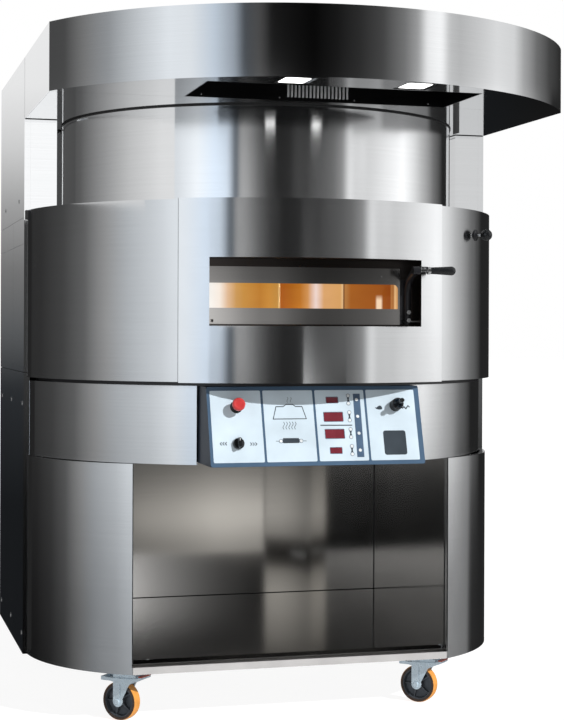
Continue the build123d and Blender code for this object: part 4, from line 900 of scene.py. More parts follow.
class Finishes:
    """Every finish of the oven, each built once."""

    def __init__(self) -> None:
        """Builds the materials."""
        self.shell = BrushedSteel("shell_steel").material()
        self.drum = BrushedSteel("drum_steel", colour=(0.86, 0.87, 0.88), roughness=0.11,
                                 anisotropy=0.9).material()
        self.front = BrushedSteel("front_steel", roughness=0.13).material()
        self.hood = BrushedSteel("hood_steel", roughness=0.065, anisotropy=0.3, smears=0.004).material()
        self.mirror = BrushedSteel("mirror_steel", lay=Lay.ACROSS, roughness=0.06, anisotropy=0.3,
                                   smears=0.01).material()
        self.side = BrushedSteel("side_steel", roughness=0.12, anisotropy=0.6).material()
        self.post = BrushedSteel("post_steel", roughness=0.10, anisotropy=0.4).material()
        self.door = BrushedSteel("door_steel", colour=(0.74, 0.72, 0.70), roughness=0.16,
                                 anisotropy=0.3).material()
        # Painted shade: the mouth frame's polished steel is darkened to stand for the shade in the mouth's
        # recess.
        self.shaded_lining = BrushedSteel("lining_steel", colour=(0.20, 0.18, 0.17), roughness=0.3, anisotropy=0.2,
                                   smears=0.04).material()
        self.bay = BrushedSteel("bay_steel", roughness=0.09, anisotropy=0.5, smears=0.008,
                                colour=(0.78, 0.77, 0.755)).material()
        # Painted light: the blades are pale grey, much lighter than the dark louvre panel, as if lit by the
        # lamps.
        self.blade = PlatedMetal("louvre_blades", (0.60, 0.61, 0.62), roughness=0.36, metallic=0.3).material()
        self.louvre = BrushedSteel("louvre_steel", colour=(0.10, 0.10, 0.105), roughness=0.3, anisotropy=0.2,
                                   smears=0.03).material()
        self.inner = BrushedSteel("inner_steel", lay=Lay.ACROSS, roughness=0.28, anisotropy=0.2,
                                  colour=(0.62, 0.56, 0.50)).material()
        self.rail = Enamel("rail_paint", (0.40, 0.39, 0.385), roughness=0.35).material()
        self.black = Enamel("black_paint", (0.012, 0.012, 0.014), roughness=0.32).material()
        self.bezel = Enamel("bezel_paint", (0.056, 0.100, 0.160), roughness=0.42, peel=700.0).material()
        # Painted shade: the control box has the bezel's blue paint, darkened as if in shadow.
        self.box = Enamel("box_paint", (0.020, 0.030, 0.050), roughness=0.40, peel=500.0).material()
        self.field = Enamel("field_film", (0.50, 0.585, 0.645), roughness=0.45, peel=900.0).material()
        self.ink = Moulding("ink", (0.035, 0.045, 0.055), roughness=0.5).material()
        self.strip = Moulding("strip_film", (0.06, 0.10, 0.16), roughness=0.45).material()
        self.key = Moulding("key_film", (0.62, 0.64, 0.64), roughness=0.45).material()
        self.display = Moulding("display_window", (0.15, 0.022, 0.032), roughness=0.18, coat=0.6).material()
        self.red = Moulding("red_plastic", (0.46, 0.035, 0.035), roughness=0.34, coat=0.3).material()
        self.plastic = Moulding("black_plastic", (0.010, 0.011, 0.012), roughness=0.26).material()
        self.rubber = Moulding("black_rubber", (0.014, 0.014, 0.015), roughness=0.55).material()
        self.tread = Moulding("wheel_tread", (0.62, 0.26, 0.05), roughness=0.42, grain=900.0).material()
        # Painted shade: the tyre's sides are the tread's orange darkened to brown-black.
        self.tyre_side = Moulding("tyre_side", (0.050, 0.028, 0.018), roughness=0.5, grain=900.0).material()
        self.sealant = Moulding("sealant", (0.05, 0.05, 0.052), roughness=0.6).material()
        self.hub = PlatedMetal("hub_casting", (0.10, 0.11, 0.125), roughness=0.42, metallic=0.6).material()
        self.zinc = PlatedMetal("zinc_plate", (0.62, 0.73, 0.81), roughness=0.28, metallic=0.4).material()
        self.chrome = PlatedMetal("bright_metal", (0.86, 0.87, 0.88), roughness=0.12,
                                  contrast=0.05).material()
        self.pedal = Enamel("pedal_paint", (0.33, 0.06, 0.035), roughness=0.45).material()
        self.iron = PlatedMetal("machine_casting", (0.20, 0.22, 0.25), roughness=0.5, metallic=0.3).material()
        self.aluminium = PlatedMetal("fan_aluminium", (0.72, 0.73, 0.75), roughness=0.38).material()
        self.board = Enamel("circuit_board", (0.02, 0.12, 0.05), roughness=0.5).material()
        self.stone = FireClay("baking_stone").material()
        self.wool = MineralWool("mineral_wool").material()
        self.rods = Glow("heating_rod", (0.10, 0.06, 0.05), (1.0, 0.36, 0.08), 2.5, cloud=14.0).material()
        self.lens = Glow("lamp_lens", (0.9, 0.9, 0.9), (1.0, 0.99, 0.97), 3.0).material()
        self.oven_lamp = Glow("oven_lamp_glass", (0.9, 0.8, 0.6), (1.0, 0.74, 0.38), 4.0).material()
        # The window's glow and highlights are painted on the pane as emission.
        self.pane = OvenGlass("oven_window").material()


@dataclass
class Stand:
    """The wheeled stand: skins, storage bay and the screws that show."""

    finishes: Finishes
    bay_floor: float = 186.0
    bay_top: float = 734.0
    bay_half: float = 599.0
    bay_back: float = 840.0
    floor_screws: tuple[Point2, ...] = ((-420.0, -196.0), (452.0, -196.0))
    screw: float = 3.4

    def build(self) -> None:
        """Dresses the stand's sheets and adds its screws."""
        finishes = self.finishes
        dress(finishes.shell, "stand_band_left", "stand_band_right", "stand_shell_left", "stand_shell_right")
        dress(finishes.side, "stand_side_left", "stand_side_right")
        dress(finishes.bay, "storage_bay")
        dress(finishes.rail, "stand_frame")
        dress(finishes.iron, "gearmotor", "deck_bearing")
        repeater = Repeater("stand_screw", screw_head(), finishes.chrome)
        level = frame_at((0, 0, self.bay_floor))
        spots = [spot(level, (x, y, 0)) for x, y in self.floor_screws]
        repeater.fit("bay_screws", spots, "oven", "bright_metal", self.screw)
        half, back, floor, top = self.bay_half - 2.5, self.bay_back - 3.5, self.bay_floor + 0.5, self.bay_top
        beads = Shape()
        beads.tube([(-half, back, floor), (0, back, floor), (half, back, floor)], 1.3, 10)
        for x in (-half, half):
            beads.tube([(x, back, floor + 1.4), (x, back, (floor + top) / 2), (x, back, top)], 1.3, 10)
        beads.set_at(Matrix.Scale(MM, 4))
        beads.fit("bay_beads", finishes.sealant, "oven", "black_plastic")


@dataclass
class ControlPanel:
    """The tilted control panel with its printed fields, displays, keys, stop button and two switches."""

    finishes: Finishes
    middle: Point3 = (0.0, -438.5, 851.0)
    slope: Point3 = (0.0, -0.9561, 0.2931)
    field_starts: tuple[float, ...] = (-295.0, -147.5, 0.0, 147.5)
    field_size: Point2 = (141.5, 200.0)
    film: Point2 = (-0.4, -0.05)
    print_height: Point2 = (-0.1, 0.06)
    stop_at: Point2 = (-223.0, 54.0)
    selector_at: Point2 = (-224.0, -48.0)
    switch_at: Point2 = (231.0, 54.0)
    displays: tuple[tuple[Point2, Point2], ...] = (
        ((49.0, 71.5), (33.0, 16.0)), ((49.0, 24.0), (54.0, 25.0)),
        ((49.0, -24.0), (54.0, 25.0)), ((49.0, -70.5), (33.0, 16.0)))
    key_rows: tuple[float, ...] = (72.5, 25.0, -22.5, -70.0)

    def frame(self, place: Point2 = (0, 0), height: float = 0.0) -> Matrix:
        """Gives the panel's frame, moved to a point on it.

        Args:
            place: The point.
            height: How far above the panel.

        Returns:
            The frame.
        """
        base = frame_at(self.middle, self.slope)
        return base @ Matrix.Translation((*place, height))

    def printed(self, shape: Shape, name: str, material: Material) -> None:
        """Puts a printed shape on the panel."""
        shape.set_at(self.frame()).fit(name, material, "oven", "panel_paint")

    def fields(self) -> None:
        """Lays the four pale films in their pockets."""
        shape = Shape()
        half = self.field_size[1] / 2
        for start in self.field_starts:
            outline = rounded((start + 0.3, 0.3 - half), (start + self.field_size[0] - 0.3, half - 0.3), 3.5)
            shape.prism(outline, *self.film)
        self.printed(shape, "panel_films", self.finishes.field)

    def drawings(self) -> None:
        """Draws the hood, steam, lamp tube, rule and position signs in dark ink."""
        low, high = self.print_height
        shape = Shape()
        hood = [(-122.0, 19.5), (-112.0, 54.0), (-92.0, 54.0), (-82.5, 60.5), (-64.5, 60.5), (-57.0, 54.0),
                (-38.5, 54.0), (-28.5, 19.5)]
        shape.stroke(hood, 2.4, low, high, closed=True)
        shape.stroke([(-99.0, -35.0), (-54.0, -35.5)], 2.4, low, high)
        shape.prism([(-97, -48), (-56, -48), (-52, -46), (-52, -38), (-56, -36), (-97, -36), (-101, -38),
                     (-101, -46)],
                    low, high)
        shape.stroke([(-119.0, -42.0), (-111.0, -42.0)], 1.4, low, high)
        shape.stroke([(-42.0, -42.3), (-33.0, -42.4)], 1.4, low, high)
        shape.stroke([(10.0, 0.6), (101.0, -0.2)], 3.0, low, high)
        flame = [(171.0, 50.0), (176.0, 49.0), (181.0, 53.0), (186.0, 55.0), (190.5, 52.5), (193.0, 47.0),
                 (190.0, 43.5), (182.0, 43.0), (175.5, 45.0)]
        shape.prism(list(reversed(flame)), low, high)
        shape.stroke([(250.5, 45.5), (256.5, 50.5), (261.5, 45.0), (268.5, 53.5), (273.0, 49.0)], 3.2, low,
                     high)
        shape.prism(rounded((188.0, -85.0), (253.5, -16.5), 7.0), low, high)
        self.printed(shape, "panel_ink", self.finishes.ink)

    def waves(self) -> None:
        """Draws the wavy heat and steam lines and the chevrons, each repeated from one stroke."""
        low, high = self.print_height
        ink = self.finishes.ink
        wave = Shape().stroke([(2.4 * math.sin(step * math.pi / 6), 10.5 - step * 1.75)
                               for step in range(13)],
                              1.5, low, high)
        wave_copies = Repeater("heat_wave", wave, ink)
        frame_here = self.frame()
        spots = [spot(frame_here, (-94.0 + 8.2 * index, 0.8, 0)) for index in range(5)]
        wave_copies.fit("heat_waves", spots, "oven", "panel_paint")
        steam = [spot(frame_here, (-78.0 + 9.5 * index, 73.0, 0)) for index in range(2)]
        wave_copies.fit("steam_waves", steam, "oven", "panel_paint", 0.7)
        chevron = Shape().stroke([(2.2, 4.4), (-2.2, 0.0), (2.2, -4.4)], 2.2, low, high)
        chevrons = Repeater("chevron", chevron, ink)
        spots = [spot(frame_here, (-272.0 + 7.0 * index, -47.0, 0)) for index in range(3)]
        spots += [spot(frame_here, (-189.0 + 7.0 * index, -49.0, 0), 180.0) for index in range(3)]
        chevrons.fit("chevrons", spots, "oven", "panel_paint")

    def keys(self) -> None:
        """Lays the dark strip, the pairs of arrow keys and the round keys, with their rims."""
        low, high = self.print_height
        strip = Shape().prism([(107.5, -90.0), (128.0, -90.0), (130.5, 89.0), (110.5, 89.0)], low, high)
        self.printed(strip, "key_strip", self.finishes.strip)
        bridges = Shape()
        places = []
        for row in self.key_rows:
            lean = row * 0.009
            upper, lower = (95.5 + lean, row + 11.0), (95.0 + lean, row - 11.0)
            places += [upper, lower, (118.6 + row * 0.01, row - 0.5)]
            bridges.prism([(lower[0] - 4.6, lower[1]), (lower[0] + 4.6, lower[1]), (lower[0] + 1.8, row),
                           (upper[0] + 4.6, upper[1]), (upper[0] - 4.6, upper[1]), (lower[0] - 1.8, row)],
                          low, high)
        self.printed(bridges, "key_bridges", self.finishes.ink)
        frame_here = self.frame()
        spots = [spot(frame_here, (*place, high)) for place in places]
        spots += [spot(frame_here, (x, -42.2, high)) for x in (-105.0, -48.0)]
        rim = Shape().lathe([(5.6, -0.06), (5.6, 0.5), (4.9, 0.8), (4.4, 0.5), (4.4, -0.06)], steps=24,
                            closed=True)
        rims = Repeater("key_rim", rim, self.finishes.strip)
        rims.fit("key_rims", spots, "oven", "panel_paint")
        dome = Shape().lathe([(4.5, -0.06), (4.5, 0.35), (3.4, 0.6), (1.4, 0.66), (1.2, 0.5), (0.01, 0.48)],
                             steps=20)
        domes = Repeater("key_dome", dome, self.finishes.key)
        domes.fit("key_domes", spots, "oven", "panel_paint")

    def windows(self) -> None:
        """Glazes the four displays and rims them."""
        glass = Shape()
        rims = Shape()
        for (x, y), (width, height) in self.displays:
            low, high = (x - width / 2, y - height / 2), (x + width / 2, y + height / 2)
            glass.prism(rounded(low, high, 1.2, 3), -1.2, 0.1)
            rims.stroke(rounded((low[0] - 0.8, low[1] - 0.8), (high[0] + 0.8, high[1] + 0.8), 1.8, 3), 1.2,
                        self.print_height[0], 0.3, closed=True)
        self.printed(glass, "display_windows", self.finishes.display)
        self.printed(rims, "display_rims", self.finishes.strip)
        dress(self.finishes.board, "display_board")

    def stop(self) -> None:
        """Turns the stop button's mushroom head on its stem, with its black collar."""
        head = Shape().lathe([(8.0, -21.0), (8.0, 25.0), (16.4, 25.0), (17.6, 26.2), (18.0, 28.5),
                              (17.6, 33.0),
                              (15.6, 35.6), (12.0, 36.5), (11.6, 36.1), (6.0, 36.7), (0.01, 36.9)], steps=56)
        head.set_at(self.frame(self.stop_at))
        head.fit("stop_head", self.finishes.red, "stop_button", "red_plastic", ["stop_button"], crease=60)
        collar = Shape().lathe([(8.4, 2.4), (15.0, 2.4), (17.2, 0.0), (17.2, 1.6), (15.6, 3.4), (12.0, 5.6),
                                (8.4, 5.6)], steps=48, closed=True)
        collar.set_at(self.frame(self.stop_at))
        collar.fit("stop_collar", self.finishes.plastic, "oven", "black_plastic")

    def selector(self) -> None:
        """Turns the selector's skirted knob with its finger bar and a pale pointer line."""
        knob = Shape().lathe([(4.0, -17.0), (4.0, 0.5), (15.2, 0.5), (15.5, 1.2), (15.5, 7.0), (14.6, 9.6),
                              (12.8, 10.5), (0.01, 10.5)], steps=48)
        bar = rounded((-4.6, -13.5), (4.6, 13.5), 4.4, 5)
        knob.prism(bar, 9.8, 24.0, 1.2)
        knob.set_at(self.frame(self.selector_at))
        knob.fit("selector_knob", self.finishes.plastic, "selector", "black_plastic", ["selector"])
        pointer = Shape().prism(rounded((-0.8, 4.0), (0.8, 11.5), 0.7, 3), 23.9, 24.0 + 0.1)
        pointer.set_at(self.frame(self.selector_at))
        pointer.fit("selector_pointer", self.finishes.key, "selector", "black_plastic")

    def switch(self) -> None:
        """Turns the lever switch with its ribbed boot."""
        stick = Shape().lathe([(5.0, -11.9), (5.0, 44.0), (6.1, 45.0), (6.5, 48.0), (6.5, 60.0), (5.6, 64.0),
                               (3.2, 65.7), (0.01, 66.0)], steps=32)
        stick.set_at(self.frame(self.switch_at))
        stick.fit("switch_stick", self.finishes.plastic, "lever_switch", "black_plastic", ["lever_switch"],
                  crease=50)
        boot = Shape().lathe([(15.55, 0.0), (16.6, 0.0), (16.6, 3.0), (15.8, 5.0), (16.4, 7.5), (15.8, 10.0),
                              (16.4, 12.5), (15.8, 15.0), (16.4, 17.5), (15.8, 20.0), (16.4, 22.5),
                              (16.0, 26.2),
                              (12.2, 26.6), (12.2, 26.05), (15.55, 26.05)], steps=48, closed=True)
        boot.set_at(self.frame(self.switch_at))
        boot.fit("switch_boot", self.finishes.rubber, "oven", "black_plastic")

    def build(self) -> None:
        """Builds the panel's pieces in order."""
        dress(self.finishes.bezel, "control_fascia")
        # The box's sides take the bezel's paint in painted shade.
        dress(self.finishes.box, "control_box")
        self.fields()
        self.drawings()
        self.waves()
        self.keys()
        self.windows()
        self.stop()
        self.selector()
        self.switch()


@dataclass
class BakingChamber:
    """The round chamber: its skins, stones, heating rods, lamp and steam knob."""

    finishes: Finishes
    lamp_place: Point3 = (-0.33, -0.09, 1.30)
    lamp_power: float = 5.0
    rod_exit: Point3 = (538.7, -249.7, 1391.0)
    rod_way: Point3 = (0.7447, -0.6674, 0.0)
    knob_out: float = 34.0
    knob_radius: float = 17.0

    def build(self) -> None:
        """Dresses the chamber and adds its knob, rosette and lamp."""
        finishes = self.finishes
        dress(finishes.shell, "chamber_shell_left", "chamber_shell_right", "chamber_roof")
        dress(finishes.drum, "neck_drum")
        dress(finishes.front, "chamber_front")
        # The mouth frame is darkened steel: the recess's shade is painted on.
        dress(finishes.shaded_lining, "mouth_frame")
        dress(finishes.black, "chamber_base")
        dress(finishes.inner, "inner_chamber", "deck_carrier", "flue_duct")
        dress(finishes.wool, "insulation")
        dress(finishes.stone, "deck_stones")
        dress(finishes.rods, "heating_elements")
        dress(finishes.oven_lamp, "chamber_lamp")
        dress(finishes.chrome, "vent_rod")
        bore = frame_at(self.rod_exit, self.rod_way)
        rosette = Shape().lathe([(4.6, -0.4), (16.5, -0.4), (16.5, 1.8), (13.5, 4.6), (9.5, 5.4), (8.6, 8.5),
                                 (4.6, 8.5)], steps=40, closed=True)
        rosette.set_at(bore).fit("vent_rosette", finishes.black, "oven", "black_metal")
        ball = [(4.3, self.knob_out - 16.9), (6.5, self.knob_out - 16.2)]
        for step in range(2, 12):
            angle = math.pi * (step / 12 - 0.5)
            ball.append((self.knob_radius * math.cos(angle),
                         self.knob_out + self.knob_radius * math.sin(angle)))
        ball.append((0.01, self.knob_out + self.knob_radius))
        knob = Shape().lathe(ball, steps=40).set_at(bore)
        knob.fit("vent_ball", finishes.plastic, "damper", "black_plastic", ["vent_knob"], crease=50)
        self.light()

    def light(self) -> None:
        """Hangs the warm lamp that lights the chamber behind the door's window."""
        lamp = bpy.data.lights.new("chamber_light", "POINT")
        lamp.energy = self.lamp_power
        lamp.color = (1.0, 0.72, 0.38)
        lamp.shadow_soft_size = 0.03
        holder = bpy.data.objects.new("chamber_light", lamp)
        holder.location = self.lamp_place
        bpy.context.scene.collection.objects.link(holder)


@dataclass
class Door:
    """The drop-down door with its window, black lever, cooling coil and grip."""

    finishes: Finishes
    handle_y: float = -462.0
    handle_z: float = 1277.0
    coil_x: Point2 = (288.0, 310.0)
    coil_radius: float = 9.75
    wire_radius: float = 1.25
    turns: int = 3
    leg: float = 5.2
    bend: float = 2.7
    grip: Point2 = (318.0, 393.0)
    grip_radius: float = 12.5
    screw_place: Point3 = (200.0, -391.4, 1262.0)
    screw_normal: Point3 = (0.051, -1.0, 0.0)
    screw: float = 2.6

    def coil_line(self) -> list[Vector]:
        """Gives the line of the cooling coil: a straight leg, the winding, and a straight leg.

        Returns:
            Its points in millimetres.
        """
        start, end = self.coil_x[0] + self.leg, self.coil_x[1] - self.leg
        steps = 28 * self.turns
        points = []
        for step in range(steps + 1):
            angle = FULL_TURN * self.turns * step / steps
            points.append(Vector((start + (end - start) * step / steps,
                                  self.handle_y + self.coil_radius * math.sin(angle),
                                  self.handle_z + self.coil_radius * math.cos(angle))))
        lead = []
        for step in range(6):
            angle = math.pi / 2 * step / 6
            lead.append((self.bend * (1 - math.sin(angle)), self.bend * (1 - math.cos(angle))))
        first = [Vector((self.coil_x[0], self.handle_y - self.bend, self.handle_z + self.coil_radius))]
        first += [points[0] - Vector((back, side, 0)) for side, back in reversed(lead)]
        last = [points[-1] + Vector((back, side, 0)) for side, back in lead]
        last.append(Vector((self.coil_x[1], self.handle_y + self.bend, self.handle_z + self.coil_radius)))
        return first + points[1:-1] + last

    def build(self) -> None:
        """Dresses the door and builds its coil, grip and screw."""
        finishes = self.finishes
        dress(finishes.door, "door_frame")
        dress(finishes.pane, "door_glass")
        dress(finishes.black, "door_lever")
        dress(finishes.chrome, "door_fittings")
        coil = Sweeper("coil_wire", finishes.black).run("cooling_coil", self.coil_line(), self.wire_radius)
        fit(coil, "cooling_coil", "door", ["handle_coil"])
        (start, end), radius = self.grip, self.grip_radius
        profile = [(5.1, 0.0), (8.4, 0.0), (9.25, 0.9), (10.2, 22.0), (11.6, 48.0),
                   (radius, end - start - radius)]
        for step in range(1, 7):
            angle = math.pi / 2 * step / 6
            profile.append((radius * math.cos(angle),
                            end - start - radius + (radius - 0.1) * math.sin(angle)))
        grip = Shape().lathe(profile, steps=40)
        grip.set_at(frame_at((start, self.handle_y, self.handle_z), (1, 0, 0), (0, 0, 1)))
        grip.fit("door_grip", finishes.plastic, "door", "black_plastic", ["handle_grip"], crease=50)
        heads = Repeater("door_screw", screw_head(), finishes.chrome)
        points = [spot(frame_at(self.screw_place, self.screw_normal), (0, 0, 0))]
        heads.fit("door_screws", points, "door", "bright_metal", self.screw)


@dataclass
class Hood:
    """The extractor hood: skins, recess, louvre, lamps and the box behind."""

    finishes: Finishes
    screw_x: tuple[float, ...] = (-325.0, -108.0, 105.0, 321.0)
    screw: float = 2.6
    recess_back: float = -432.5
    screw_z: float = 1743.0
    lamp_x: float = 161.0
    lamp_y: float = -770.0
    lamp_half: Point2 = (44.0, 53.0)
    lens_half: Point2 = (34.0, 43.0)
    lamp_z: float = 1736.2
    drum: Point3 = (0.0, 236.0, 1731.0)
    drum_radius: float = 603.2
    slots: int = 17
    pitch: float = 10.5
    slot_z: float = 1763.5

    def lamps(self) -> None:
        """Builds the two lamps: a rimmed housing and a lens that gives light."""
        housings, lenses = Shape(), Shape()
        for side in (-1, 1):
            x, y, z = side * self.lamp_x, self.lamp_y, self.lamp_z
            outer, inner = (rounded((x - half[0], y - half[1]), (x + half[0], y + half[1]), radius)
                            for half, radius in ((self.lamp_half, 6.0), (self.lens_half, 10.0)))
            housings.loft([[(*point, height) for point in outline] for outline, height in
                           ((outer, z + 28.0), (outer, z + 1.0), (inner, z), (inner, z + 2.5))])
            lenses.prism(rounded((x - self.lens_half[0] + 0.4, y - self.lens_half[1] + 0.4),
                                 (x + self.lens_half[0] - 0.4, y + self.lens_half[1] - 0.4), 9.6), z + 0.6,
                         z + 2.4)
        for shape, name, material in ((housings, "lamp_housings", self.finishes.chrome),
                                      (lenses, "lamp_lenses", self.finishes.lens)):
            replaced = ["hood_lamps"] if name == "lamp_housings" else []
            shape.set_at(Matrix.Scale(MM, 4)).fit(name, material, "oven", "lamp_glass", replaced)

    def louvre(self) -> None:
        """Sets a slanting blade in every slot and the screws beside them."""
        finishes = self.finishes
        wall = frame_at((0.0, self.recess_back, 0.0), (0, -1, 0))
        blade = Shape().prism(rounded((-0.6, -19.0), (0.6, 19.0), 0.5, 2), -3.5, 4.5)
        blade.set_at(Matrix.Rotation(math.radians(28), 4, "Y"))
        # The blades carry painted light: paler than the panel behind them.
        blades = Repeater("louvre_blade", blade, finishes.blade)
        first = -(self.slots - 1) / 2
        spots = [spot(wall, ((first + index) * self.pitch, self.slot_z, 0)) for index in range(self.slots)]
        blades.fit("louvre_blades", spots, "oven", "steel")
        heads = Repeater("hood_screw", screw_head(), finishes.chrome)
        spots = [spot(wall, (x, self.screw_z, 0)) for x in self.screw_x]
        heads.fit("hood_screws", spots, "oven", "bright_metal", self.screw)

    def seals(self) -> None:
        """Rings the top of the drum with its dark seal and adds the small clip at the box's front corner."""
        ring = Shape().lathe([(self.drum_radius - 0.4, 0.0), (self.drum_radius + 1.6, 0.0),
                              (self.drum_radius + 2.2, 1.8), (self.drum_radius + 1.6, 3.8),
                              (self.drum_radius - 0.4, 3.8)], steps=160, closed=True)
        ring.set_at(frame_at(self.drum))
        ring.fit("drum_seal", self.finishes.rubber, "oven", "black_plastic")
        clip = Shape().prism(rounded((-7.0, -14.0), (7.0, 14.0), 2.5), -0.2, 5.0, 1.0)
        clip.lathe([(3.4, 4.8), (3.4, 8.0), (2.4, 9.0), (0.01, 9.2)], steps=20, centre=(0.0, 5.0))
        clip.set_at(frame_at((-720.5, 154.0, 1450.0), (0, -1, 0)))
        clip.fit("corner_clip", self.finishes.plastic, "oven", "black_plastic")

    def build(self) -> None:
        """Dresses the hood and adds its lamps, blades, screws and seals."""
        finishes = self.finishes
        dress(finishes.hood, "hood_canopy")
        dress(finishes.mirror, "hood_underside")
        dress(finishes.side, "side_panel_left", "side_panel_right", "rear_panel")
        dress(finishes.post, "box_posts")
        dress(finishes.louvre, "louvre_panel")
        dress(finishes.iron, "fan_motor")
        dress(finishes.aluminium, "fan_impeller")
        dress(finishes.rubber, "cable_gland")
        self.lamps()
        self.louvre()
        self.seals()


@dataclass
class Undercarriage:
    """The four casters: forks, wheels and brake pedals."""

    finishes: Finishes
    bearing: float = 137.0
    trail: float = 38.0
    wheel_radius: float = 55.0
    wheel_half: float = 16.0
    ribs: int = 5
    pad_low: Point2 = (-45.5, -26.5)
    pad_high: Point2 = (-33.0, 26.5)
    pad_heights: Point2 = (130.6, 134.2)

    def wheel_frame(self, corner: str) -> Matrix:
        """Gives the frame of a wheel: Z along its axle and Y up.

        Args:
            corner: The caster's name.

        Returns:
            The frame.
        """
        angle = math.radians(self.bearing)
        way = Vector((math.cos(angle), math.sin(angle), 0))
        x, y = CASTERS[corner]
        return frame_at((x + self.trail * way.x, y + self.trail * way.y, self.wheel_radius),
                        tuple(way.cross(Vector((0, 0, 1)))), tuple(way))

    def build(self) -> None:
        """Builds every caster."""
        finishes = self.finishes
        dress(finishes.zinc, "caster_plates", *(f"caster_fork_{corner}" for corner in CASTERS))
        dress(finishes.zinc, "brake_pedal_front_left", "brake_pedal_front_right")
        rib = Shape().loft([[(13.0, -2.4, 2.4), (42.5, -1.8, 2.4), (42.5, 1.8, 2.4), (13.0, 2.4, 2.4)],
                            [(13.0, -1.8, 13.5), (42.5, -1.2, 9.0), (42.5, 1.2, 9.0), (13.0, 1.8, 13.5)]])
        ribs = Repeater("hub_rib", rib, finishes.hub)
        nut = Shape().prism(circle((0, 0), 8.0, 6), 0.0, 5.0, 0.8)
        nuts = Repeater("axle_nut", nut, finishes.zinc)
        for corner in CASTERS:
            place = self.wheel_frame(corner)
            self.wheel(corner, place, ribs)
            spots = [spot(place, (0, 0, 21.9)), spot(place @ Matrix.Rotation(math.pi, 4, "X"), (0, 0, 21.9))]
            nuts.fit(f"axle_nuts_{corner}", spots, f"fork_{corner}", "zinc")
            if corner.startswith("front"):
                self.release_pad(corner)

    def release_pad(self, corner: str) -> None:
        """Caps the pedal's upper tread with its painted pad.

        Args:
            corner: The caster's name.
        """
        angle = math.radians(self.bearing)
        pad = Shape().prism(rounded(self.pad_low, self.pad_high, 3.0), *self.pad_heights, draw_in=0.6)
        pad.set_at(frame_at((*CASTERS[corner], 0.0), (0, 0, 1), (math.cos(angle), math.sin(angle), 0)))
        name = f"release_pad_{corner}"
        pad.fit(name, self.finishes.pedal, f"pedal_{corner}", "pedal_paint")

    def wheel(self, corner: str, place: Matrix, ribs: Repeater) -> None:
        """Builds one wheel: a moulded tread, with its sides in painted shade, on a ribbed hub.

        Args:
            corner: The caster's name.
            place: The wheel's frame.
            ribs: The tree that repeats the hub's ribs.
        """
        half, radius = self.wheel_half, self.wheel_radius
        tread = Shape().lathe([(49.0, -half + 2.2), (52.6, -half + 1.4), (54.4, -half + 3.6), (radius, -8.0),
                               (radius, 8.0), (54.4, half - 3.6), (52.6, half - 1.4), (49.0, half - 2.2)],
                              steps=64, closed=True)
        tread.set_at(place).fit(f"wheel_tread_{corner}", self.finishes.tread, f"wheel_{corner}",
                                "wheel_tread")
        # The tyre's sides, in painted shade: darker than the tread of the same moulding.
        shaded_walls = Shape()
        for side in (-1, 1):
            shaded_walls.lathe([(46.4, side * (half - 1.2)), (46.4, side * (half - 3.0)),
                         (52.5, side * (half - 3.0)),
                         (52.9, side * (half - 1.3)), (50.5, side * (half - 0.2)),
                         (47.2, side * (half - 0.3))],
                        steps=64, closed=True)
        shaded_walls.set_at(place).fit(f"wheel_wall_{corner}", self.finishes.tyre_side, f"wheel_{corner}",
                                "wheel_tread")
        hub = Shape().lathe([(46.5, -half + 1.8), (49.2, -half + 3.2), (49.2, half - 3.2), (46.5, half - 1.8),
                             (43.0, half - 1.2), (41.6, 8.0), (40.0, 3.0), (15.5, 2.6), (13.6, 8.0),
                             (12.6, 15.2),
                             (5.2, 15.6), (5.2, -15.6), (12.6, -15.2), (13.6, -8.0), (15.5, -2.6),
                             (40.0, -3.0),
                             (41.6, -8.0), (43.0, -half + 1.2)], steps=64, closed=True)
        hub.set_at(place).fit(f"wheel_hub_{corner}", self.finishes.hub, f"wheel_{corner}", "zinc",
                              [f"caster_wheel_{corner}"])
        flipped = place @ Matrix.Rotation(math.pi, 4, "X")
        spots = [spot(side, (0, 0, 0), 360 / self.ribs * index) for side in (place, flipped)
                 for index in range(self.ribs)]
        ribs.fit(f"hub_ribs_{corner}", spots, f"wheel_{corner}", "zinc")


@dataclass(frozen=True)
class Card:
    """A light card or a black flag: where it hangs, seen from the oven, and how bright it is.

    Bearings are in degrees from the camera's side of the oven, growing to its right; rises are degrees above
    the horizon.
    """

    bearing: Point2
    rise: Point2
    level: float
    soft: float = 1.0
    soft_rise: float = 1.0


